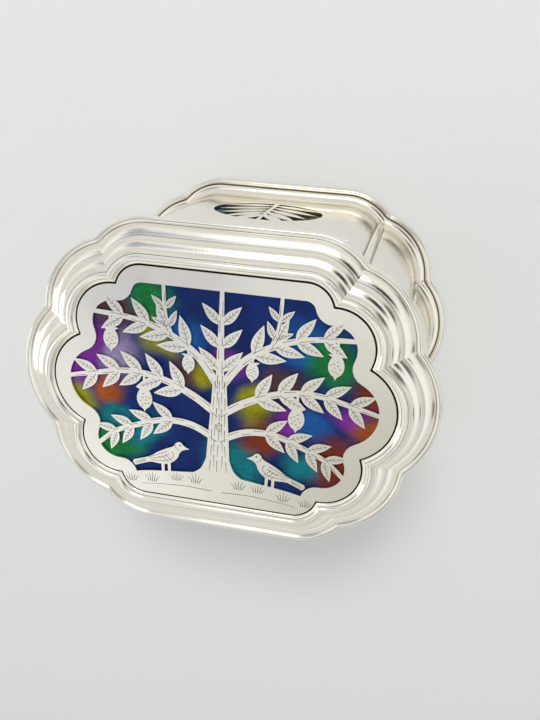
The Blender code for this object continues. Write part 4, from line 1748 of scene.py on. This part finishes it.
    def add_tuft(self, sheet: Fretwork, foot: Point, tall: float) -> None:
        """Engraves a tuft of bent grass blades.

        Args:
            sheet: The drawing.
            foot: The middle of its foot.
            tall: Height of its middle blade.
        """
        for i, share in enumerate((0.55, 0.85, 1.0, 0.8, 0.6)):
            lean = (i - 2) / 2
            start = (foot[0] + 0.70 * (i - 2), foot[1] + 0.12 * abs(i - 2))
            middle = (start[0] + 0.10 * lean * tall, start[1] + 0.55 * share * tall)
            tip = (start[0] + 0.38 * lean * tall, start[1] + share * tall)
            sheet.strokes.append(ribbon(spline([start, middle, tip], 3), (1.15 * self.line, 0.5 * self.line)))

    def add_trunk(self, sheet: Fretwork) -> None:
        """Draws the trunk with its roots, bark and a knot.

        Args:
            sheet: The drawing.
        """
        foot, top = (self.trunk_taper[0] * self.high, self.trunk_taper[1] * self.high)
        stem = [self.spot(0.0, y) for y in (-0.93, -0.70, -0.40, -0.14, 0.15)]
        sheet.metal.append(ribbon(stem, (foot, top)))
        for side in (1, -1):
            knots = ((0.26, -0.60), (0.50, -0.70), (0.86, -0.755))
            root = spline([(side * x * foot, y * self.high) for x, y in knots], 5)
            sheet.metal.append(ribbon(root, (0.34 * foot, 0.10 * foot)))
        columns = 5
        for i in range(columns):
            lean = (i + 0.5) / columns - 0.5
            for j in range(6):
                low = -0.70 + 0.145 * j + 0.05 * (i % 2)
                line = []
                for step in range(4):
                    y = low + 0.11 * step / 3
                    width = foot + (top - foot) * (y + 0.93) / 1.08
                    sway = 0.03 * math.sin(9.0 * y + 2.0 * i)
                    line.append(((0.82 * lean + sway) * width, y * self.high))
                sheet.strokes.append(ribbon(line, (0.5 * self.line, self.line)))
        level = -0.275 * self.high
        for reach in (0.55, 1.15):
            ring = arc(Vector((0.3, 0.0)), reach, math.radians(30), math.radians(330), 12)
            knot = [(p.x, level + 1.35 * p.y) for p in ring]
            sheet.strokes.append(ribbon(knot, (0.8 * self.line, 0.8 * self.line)))

    def drawing(self) -> Fretwork:
        """Draws the border, tree, fruit, birds and ground.

        Returns:
            The drawing.
        """
        coarse = replace(self.outline, lobe_steps=(14, 18, 9), cusp_steps=5, straight_steps=4)
        rim = [(x / MM, y / MM) for x, y in coarse.ring(0.0, SHARP_CUSP)]
        inner = [(x / MM, y / MM) for x, y in coarse.ring(-self.border, SHARP_CUSP + self.border)]
        sheet = Fretwork(rim=rim, field=inner)
        for bough in (UPPER_BOUGH, MIDDLE_BOUGH, LOWER_BOUGH, TWIG):
            self.add_bough(sheet, bough)
        for x, y, size, stem_top in self.citrons:
            self.add_citron(sheet, self.spot(x, y), size * self.high, stem_top * self.high)
        self.add_dove(sheet, self.spot(*self.dove[:2]), self.dove[2] * self.high)
        self.add_mound(sheet)
        sheet.mirror()
        self.add_trunk(sheet)
        self.add_bough(sheet, LEADER)
        return sheet

    def build(self, silver: bpy.types.Material, engraved: bpy.types.Material) -> bpy.types.Object:
        """Saws, thickens and engraves the plate.

        Args:
            silver: Finish of the plate.
            engraved: Finish of the engraved lines, painted dark with shade and tarnishing.

        Returns:
            The piece.
        """
        sheet = self.drawing()
        corners, triangles, marks = sheet.solve(sheet.mark)
        plate = flat_sheet(corners, triangles, marks, self.face - self.thickness)
        thicken(plate, self.thickness)
        with edit_mode(plate):
            pick(plate, "faces", lambda f: f.material_index == 1 and f.normal.z > 0.5)
            bpy.ops.mesh.extrude_region_move(TRANSFORM_OT_translate={"value": (0.0, 0.0, -self.depth)})
        for face in plate.data.polygons:
            if face.material_index == 1 and face.normal.z < -0.5:
                face.material_index = 0
        activate(plate)
        bpy.ops.object.shade_smooth_by_angle(angle=math.radians(20))
        return settle_piece(plate, "tree_plate", [silver, engraved], Body.LID, "lid_plate")


@dataclass
class ColourSheet:
    """Coloured metal sheet under the tree plate.

    Attributes:
        outline: The plate's outline.
        bottom: Height of its underside.
        top: Height of its face.
        reach: Offset of its edge.
        shade_from: Offset where the painted shade of the gap under the lip starts.
    """

    outline: LobedOutline
    bottom: float
    top: float
    reach: float
    shade_from: float = -0.0025

    def build(self, colour: bpy.types.Material) -> bpy.types.Object:
        """Models the sheet with the painted shade at its edge.

        Args:
            colour: Its finish.

        Returns:
            The piece.
        """
        pen = Section()
        soft = 0.0001
        inside = SHARP_CUSP - self.shade_from
        # The outer stations carry relief -1, which paints the sheet's edge dark as the shade of the gap under
        # the lip.
        pen.to(self.shade_from, self.bottom, inside, -1.0)
        pen.to(self.reach - soft, self.bottom, SHARP_CUSP, -1.0)
        pen.to(self.reach, self.bottom + soft, SHARP_CUSP, -1.0)
        pen.to(self.reach, self.top - soft, SHARP_CUSP, -1.0)
        pen.to(self.reach - soft, self.top, SHARP_CUSP, -1.0)
        pen.to(self.shade_from + 0.0008, self.top, inside - 0.0008, -1.0)
        pen.to(self.shade_from, self.top, inside, 0.0)
        sheet = wrap_moulding(self.outline, pen.stations, closed=False)
        polish_shading(sheet)
        return settle_piece(sheet, "rainbow_sheet", [colour], Body.LID, "lid_colour_sheet")


@dataclass
class BackPlate:
    """Plain silver plate that closes the lid from below.

    Attributes:
        outline: The plate's outline.
        bottom: Height of its underside.
        top: Height of its upper side.
        reach: Offset of its edge.
        line_in: Distance of its turned line from the edge.
    """

    outline: LobedOutline
    bottom: float
    top: float
    reach: float
    line_in: float = 0.0030

    def build(self, silver: bpy.types.Material) -> bpy.types.Object:
        """Models the plate with a shallow line around its underside.

        Args:
            silver: Its finish.

        Returns:
            The piece.
        """
        pen = Section()
        soft = 0.0002
        line = self.reach - self.line_in
        pen.to(line - 0.0007, self.bottom, SHARP_CUSP)
        pen.to(line - 0.0004, self.bottom, SHARP_CUSP)
        pen.to(line - 0.0002, self.bottom + soft, SHARP_CUSP, -1.0)
        pen.to(line, self.bottom, SHARP_CUSP, 0.3)
        pen.to(self.reach - soft, self.bottom, SHARP_CUSP)
        pen.to(self.reach, self.bottom + soft, SHARP_CUSP, 0.5)
        pen.to(self.reach, self.top - soft, SHARP_CUSP)
        pen.to(self.reach - soft, self.top, SHARP_CUSP)
        plate = wrap_moulding(self.outline, pen.stations, closed=False)
        polish_shading(plate)
        return settle_piece(plate, "inner_lid_plate", [silver], Body.LID, "lid_back_plate")


@dataclass
class WindowSheet:
    """Coloured metal sheet behind a pierced window.

    Attributes:
        side: The long side that it is on.
        corner: Radius of its corners.
    """

    side: Side
    corner: float = 0.0045

    def build(self, colour: bpy.types.Material) -> bpy.types.Object:
        """Cuts the sheet with round corners.

        Args:
            colour: Its finish.

        Returns:
            The piece.
        """
        node = f"{self.side.value}_window_sheet"
        low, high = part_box(node)
        middle, size = (low + high) / 2, high - low
        place = (middle.x, low.y, middle.z)
        bpy.ops.mesh.primitive_plane_add(size=1.0, location=place, rotation=(math.pi / 2, 0, 0))
        sheet = bpy.context.object
        sheet.scale = (size.x, size.z, 1.0)
        settle(sheet)
        with edit_mode(sheet, "VERT"):
            bpy.ops.mesh.select_all(action="SELECT")
            bpy.ops.mesh.bevel(offset=self.corner, segments=8, affect="VERTICES")
            bpy.ops.mesh.select_all(action="SELECT")
            bpy.ops.mesh.extrude_region_move(TRANSFORM_OT_translate={"value": (0.0, size.y, 0.0)})
            bpy.ops.mesh.select_all(action="SELECT")
            bpy.ops.mesh.normals_make_consistent(inside=False)
        round_edges(sheet, 0.00012, 2)
        bpy.ops.object.shade_smooth_by_angle(angle=math.radians(32))
        name = f"{self.side.value}_colour_sheet"
        return settle_piece(sheet, name, [colour], Body.BOX, node)


@dataclass
class Hinge:
    """Five-knuckle hinge along the back of the box.

    Attributes:
        axis: Y and Z of the pin.
        length: Its length.
        knuckles: The number of knuckles.
        radius: Radius of a knuckle.
        bore: Radius of its bore.
        pin: Radius of the pin.
        gap: Gap between knuckles.
        leaf: Thickness of a leaf.
        sides: Sides of a knuckle.
        rounding: Width of the rounding at a knuckle's ends.
    """

    axis: Point
    length: float
    knuckles: int = 5
    radius: float = 0.0015
    bore: float = 0.00085
    pin: float = 0.00055
    gap: float = 0.0003
    leaf: float = 0.0008
    sides: int = 40
    rounding: float = 0.00012

    def spans(self) -> list[tuple[float, float]]:
        """Divides the hinge's length.

        Returns:
            Start and end of each knuckle along X.
        """
        pitch = (self.length + self.gap) / self.knuckles
        start = -self.length / 2
        return [(start + i * pitch, start + (i + 1) * pitch - self.gap) for i in range(self.knuckles)]

    def bar(self, radius: float, span: tuple[float, float]) -> bpy.types.Object:
        """A round bar on the hinge's axis.

        Args:
            radius: Its radius.
            span: Its start and end along X.

        Returns:
            The bar.
        """
        bpy.ops.mesh.primitive_cylinder_add(
            vertices=self.sides,
            radius=radius,
            depth=span[1] - span[0],
            location=((span[0] + span[1]) / 2, *self.axis),
            rotation=(0.0, math.pi / 2, 0.0),
        )
        bar = bpy.context.object
        settle(bar)
        return bar

    def knuckle(self, span: tuple[float, float]) -> bpy.types.Object:
        """A tube made from a bar: its ends are inset, opened and bridged.

        Args:
            span: Its start and end along X.

        Returns:
            The knuckle.
        """
        tube = self.bar(self.radius, span)
        with edit_mode(tube):
            pick(tube, "faces", lambda f: abs(f.normal.x) > 0.9)
            bpy.ops.mesh.bevel(offset=self.rounding, segments=2, affect="EDGES")
            pick(tube, "faces", lambda f: abs(f.normal.x) > 0.9 and len(f.verts) > 4)
            bpy.ops.mesh.inset(thickness=self.radius - self.rounding - self.bore)
            bpy.ops.mesh.delete(type="FACE")
            bpy.ops.mesh.select_mode(type="EDGE")
            pick(tube, "edges", lambda e: e.is_boundary)
            bpy.ops.mesh.bridge_edge_loops()
            bpy.ops.mesh.select_all(action="SELECT")
            bpy.ops.mesh.normals_make_consistent(inside=False)
        return tube

    def half(
        self,
        name: str,
        node: str,
        own: Sequence[tuple[float, float]],
        others: Sequence[tuple[float, float]],
        leaf: tuple[Vector, Vector],
        body: Body,
        silver: bpy.types.Material,
    ) -> bpy.types.Object:
        """One leaf with its knuckles.

        Args:
            name: The piece's name.
            node: The frame's node that it stands for.
            own: Spans of its own knuckles.
            others: Spans of the other half's knuckles, which it is cut clear of.
            leaf: Lowest and highest corner of the leaf.
            body: The body that it rides on.
            silver: Its finish.

        Returns:
            The piece.
        """
        low, high = leaf
        bpy.ops.mesh.primitive_cube_add(size=1.0, location=(low + high) / 2)
        piece = bpy.context.object
        piece.scale = high - low
        settle(piece)
        apply_modifier(piece, "BEVEL", width=0.00015, segments=2)
        for start, end in others:
            combine(piece, "DIFFERENCE", self.bar(self.radius + self.gap, (start - self.gap, end + self.gap)))
        for start, end in own:
            combine(piece, "DIFFERENCE", self.bar(self.radius - 0.0003, (start + 0.0001, end - 0.0001)))
            combine(piece, "UNION", self.knuckle((start, end)))
        polish_shading(piece, 40.0)
        return settle_piece(piece, name, [silver], body, node)

    def build(self, silver: bpy.types.Material) -> list[bpy.types.Object]:
        """Models both halves and the pin.

        Args:
            silver: Their finish.

        Returns:
            The three pieces.
        """
        spans = self.spans()
        body_box, lid_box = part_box("body_hinge"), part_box("lid_hinge")
        half = self.length / 2
        wall = body_box[0].y
        fixed = (Vector((-half, wall, body_box[0].z)), Vector((half, wall + self.leaf, self.axis[1])))
        moving = (
            Vector((-half, lid_box[0].y, lid_box[1].z - self.leaf)),
            Vector((half, lid_box[1].y, lid_box[1].z)),
        )
        pieces = [
            self.half("hinge_wall_leaf", "body_hinge", spans[0::2], spans[1::2], fixed, Body.BOX, silver),
            self.half("hinge_lid_leaf", "lid_hinge", spans[1::2], spans[0::2], moving, Body.LID, silver),
        ]
        pin = self.bar(self.pin, (-half - self.gap, half + self.gap))
        round_edges(pin, 0.00018, 3)
        polish_shading(pin, 40.0)
        pieces.append(settle_piece(pin, "hinge_pin_rod", [silver], Body.BOX, "hinge_pin"))
        return pieces


# Studio


@dataclass(frozen=True)
class SoftLight:
    """A large soft lamp.

    Attributes:
        name: Its name.
        place: Where it stands.
        target: What it points at.
        size: Its width and height.
        power: Its power in watts.
        colour: Its colour.
        mirrored: Whether polished metal shows it.
    """

    name: str
    place: tuple[float, float, float]
    target: tuple[float, float, float]
    size: tuple[float, float]
    power: float
    colour: Colour = (1.0, 0.985, 0.96)
    mirrored: bool = True

    def build(self) -> bpy.types.Object:
        """Puts up the lamp.

        Returns:
            The lamp.
        """
        bpy.ops.object.light_add(type="AREA", location=self.place)
        lamp = bpy.context.object
        lamp.name = self.name
        lamp.data.shape = "RECTANGLE"
        lamp.data.size, lamp.data.size_y = self.size
        lamp.data.energy = self.power
        lamp.data.color = self.colour
        lamp.visible_glossy = self.mirrored
        aim = Vector(self.target) - Vector(self.place)
        lamp.rotation_euler = aim.to_track_quat("-Z", "Y").to_euler()
        return lamp


@dataclass(frozen=True)
class PhotoView:
    """The photograph's view of the box.

    The photograph shows the box lying on its front, seen from over the lid with the hinge side
    up, so the camera looks down on the standing box and is rolled.

    Attributes:
        place: The camera's place.
        target: The point of the plate that it looks at.
        up: The direction that is up in the picture.
        focal_px: Focal length in pixels of a 540 by 720 image.
        middle_px: Row of the image that the line of sight meets.
        image_px: Width and height of the image.
        sensor: Sensor length along the image's long side, in millimetres.
    """

    place: tuple[float, float, float] = (0.05894, 0.10040, 0.32360)
    target: tuple[float, float, float] = (0.01810, -0.00610, 0.10290)
    up: tuple[float, float, float] = (-0.1378, 0.9018, -0.4097)
    focal_px: float = 727.0
    middle_px: float = 420.0
    image_px: tuple[int, int] = (540, 720)
    sensor: float = 36.0

    def build(self) -> bpy.types.Object:
        """Puts up the camera and makes it the scene's own.

        Returns:
            The camera.
        """
        bpy.ops.object.camera_add(location=self.place)
        camera = bpy.context.object
        camera.name = "photo_camera"
        aim = (Vector(self.target) - Vector(self.place)).normalized()
        across = aim.cross(Vector(self.up)).normalized()
        turn = Matrix((across, across.cross(aim), -aim)).transposed()
        camera.rotation_euler = turn.to_euler()
        long_side = self.image_px[1]
        camera.data.sensor_width = self.sensor
        camera.data.lens = self.focal_px * self.sensor / long_side
        camera.data.shift_y = (self.middle_px - long_side / 2) / long_side
        camera.data.clip_start = 0.01
        bpy.context.scene.camera = camera
        return camera


ROOM_RISE = (
    (0.00, (0.86, 0.84, 0.79)),
    (0.16, (0.75, 0.73, 0.67)),
    (0.34, (0.74, 0.71, 0.65)),
    (0.52, (0.86, 0.84, 0.79)),
    (0.68, (1.00, 0.99, 0.96)),
    (0.88, (1.00, 1.00, 0.98)),
    (1.00, (0.92, 0.92, 0.91)),
)
ROOM_PATCHES = (
    Patch((-0.34, -0.23, 0.91), 0.20, (0.34, 0.34, 0.41)),
    Patch((-0.44, 0.36, 0.82), 0.30, (0.44, 0.44, 0.51)),
    Patch((-0.48, 0.56, 0.68), 0.24, (0.50, 0.50, 0.57)),
    Patch((0.06, -0.55, 0.83), 0.44, (0.54, 0.52, 0.46)),
    Patch((0.36, 0.28, 0.89), 0.31, (0.02, 0.015, 0.02)),
    Patch((0.55, 0.42, 0.72), 0.21, (0.86, 0.85, 0.80)),
    Patch((0.36, 0.55, 0.755), 0.21, (0.86, 0.85, 0.80)),
    Patch((0.85, 0.45, 0.22), 0.34, (0.16, 0.15, 0.12)),
    Patch((0.95, -0.30, 0.28), 0.20, (0.22, 0.21, 0.20)),
    Patch((-0.96, -0.14, 0.25), 0.20, (0.52, 0.50, 0.47)),
)


@dataclass(frozen=True)
class Studio:
    """Plain pale floor, soft lamps and a bright room for the silver to mirror.

    Attributes:
        floor_size: Length of the floor's side.
        floor_colour: Its colour.
        room_light: Strength of the room's light, as polished metal shows it.
        shaded: Share of it that falls on dull surfaces.
        shadow_light: Power in watts of the lamp that casts the box's shadow.
        backdrop: Its colour behind the floor, as the camera sees it.
        room_rise: Colours of its walls and ceiling by height, from the floor up.
        room_patches: Softly edged areas of it, placed by direction.
    """

    floor_size: float = 6.0
    floor_colour: Colour = (0.80, 0.82, 0.83)
    room_light: float = 0.97
    shaded: float = 0.80
    shadow_light: float = 4.6
    backdrop: Colour = (0.78, 0.78, 0.77)
    room_rise: tuple[tuple[float, Colour], ...] = ROOM_RISE
    room_patches: tuple[Patch, ...] = ROOM_PATCHES

    def floor(self) -> bpy.types.Object:
        """Lays the floor just under the foot.

        Returns:
            The floor.
        """
        bpy.ops.mesh.primitive_plane_add(size=self.floor_size, location=(0.0, 0.0, -0.0002))
        floor = bpy.context.object
        floor.name = "floor"
        settle(floor)
        material = bpy.data.materials.new("pale_paper")
        material.use_nodes = True
        w = Wiring(material.node_tree)
        shader = material.node_tree.nodes["Principled BSDF"]
        place = w.add("ShaderNodeTexCoord").outputs["Object"]
        tooth = w.noise(place, 900.0, 4.0)
        low = tuple(0.97 * c for c in self.floor_colour)
        colour = w.blend(tooth, (*low, 1.0), (*self.floor_colour, 1.0))
        w.tree.links.new(colour, shader.inputs["Base Color"])
        shader.inputs["Roughness"].default_value = 0.85
        floor.data.materials.append(material)
        return floor

    def room(self, shop: Workshop) -> None:
        """Lights the scene from all round: a white room with soft grey, cream and dark areas.

        Args:
            shop: The shared shader groups.
        """
        world = bpy.data.worlds.new("studio_room")
        bpy.context.scene.world = world
        world.use_nodes = True
        w = Wiring(world.node_tree)
        background = world.node_tree.nodes["Background"]
        output = world.node_tree.nodes["World Output"]
        sky = w.add("ShaderNodeTexCoord").outputs["Generated"]
        height = w.add("ShaderNodeSeparateXYZ", {0: sky}).outputs["Z"]
        ramp = w.add("ShaderNodeValToRGB", {0: height})
        stops = ramp.color_ramp.elements
        stops[0].position, stops[0].color = self.room_rise[0][0], (*self.room_rise[0][1], 1.0)
        stops[1].position, stops[1].color = self.room_rise[-1][0], (*self.room_rise[-1][1], 1.0)
        for position, tone in self.room_rise[1:-1]:
            stops.new(position).color = (*tone, 1.0)
        colour = shop.patched(w, sky, ramp.outputs["Color"], self.room_patches)
        w.tree.links.new(colour, background.inputs["Color"])
        path = w.add("ShaderNodeLightPath")
        dulled = w.maths("MULTIPLY", path.outputs["Is Diffuse Ray"], (self.shaded - 1) * self.room_light)
        w.tree.links.new(w.maths("ADD", dulled, self.room_light), background.inputs["Strength"])
        plain = w.add("ShaderNodeBackground", {"Color": (*self.backdrop, 1.0), "Strength": 1.0})
        seen = path.outputs["Is Camera Ray"]
        mixed = w.add("ShaderNodeMixShader", {0: seen, 1: background.outputs[0], 2: plain.outputs[0]})
        w.tree.links.new(mixed.outputs[0], output.inputs["Surface"])

    def lamps(self) -> list[bpy.types.Object]:
        """Puts up the soft lamps.

        Returns:
            The lamps.
        """
        over, power = (0.0, 0.0, 0.08), self.shadow_light
        lamps = (
            SoftLight("key_softbox", (0.02, 0.58, 0.80), over, (0.50, 0.42), 0.66),
            SoftLight("left_fill", (-0.75, -0.15, 0.34), over, (0.26, 0.5), 0.45),
            SoftLight("back_window", (0.06, 0.74, 0.95), over, (0.26, 0.26), power, mirrored=False),
        )
        return [lamp.build() for lamp in lamps]

    def build(self, shop: Workshop) -> None:
        """Builds the whole studio.

        Args:
            shop: The shared shader groups.
        """
        self.floor()
        self.room(shop)
        self.lamps()
        PhotoView().build()
        bpy.context.scene.view_settings.view_transform = "Standard"


def main() -> None:
    """Builds the pieces in order, dresses them and sets up the studio."""
    logging.basicConfig(level=logging.INFO, format="%(name)s: %(message)s")
    shop = Workshop()
    polished = SilverFinish("polished_silver").material(shop)
    # Painted shade and warm reflection: the walls get a darker, warmer copy of the polished silver.
    shaded_wall_silver = SilverFinish("polished_wall_shaded", bright=(0.93, 0.895, 0.81)).material(shop)
    plate_silver = SilverFinish("burnished_plate", roughness=0.20, wear=0.08, wave=0.00015).material(shop)
    inner_silver = SilverFinish("satin_inside", roughness=0.26, wear=0.10, wave=0.0002).material(shop)
    # Painted shade with some tarnishing: the engraved lines and the windows' sawn edges get a near-black
    # silver.
    engraved = SilverFinish(
        "engraved_line", bright=(0.16, 0.145, 0.125), film_and_shade=(0.10, 0.09, 0.08), roughness=0.5
    ).material(shop)
    lid_rainbow = RainbowFinish("rainbow_lid_sheet", NAVY, LID_PATCHES).material(shop)
    window_rainbow = RainbowFinish("rainbow_window_sheet", NAVY, WINDOW_PATCHES).material(shop)

    plate_low, plate_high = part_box("lid_plate")
    frame_low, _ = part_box("lid_frame")
    _, body_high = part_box("body")
    outline = LobedOutline(plate_high.x - plate_low.x, plate_high.y - plate_low.y)
    shell = BoxShell(outline, body_high.z, WALL_OFFSET, body_high.x - plate_high.x)
    shell.build(shaded_wall_silver, inner_silver, engraved)
    LidMoulding(outline, plate_high.z, frame_low.z).build(polished)
    TreePlate(outline, plate_high.z, plate_high.z - plate_low.z).build(plate_silver, engraved)
    back_low, back_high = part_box("lid_back_plate")
    BackPlate(outline, back_low.z, back_high.z, back_high.x - plate_high.x).build(inner_silver)
    for side in Side:
        WindowSheet(side).build(window_rainbow)
    sheet_low, sheet_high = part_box("lid_colour_sheet")
    ColourSheet(outline, sheet_low.z, sheet_high.z, sheet_high.x - plate_high.x).build(lid_rainbow)
    _, pin_y, pin_z = frame["joints"][0]["pos_m"]
    pin_low, pin_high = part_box("hinge_pin")
    Hinge((pin_y, pin_z), pin_high.x - pin_low.x - 2 * Hinge.gap).build(polished)
    Studio().build(shop)


if __name__ == "__main__":
    main()
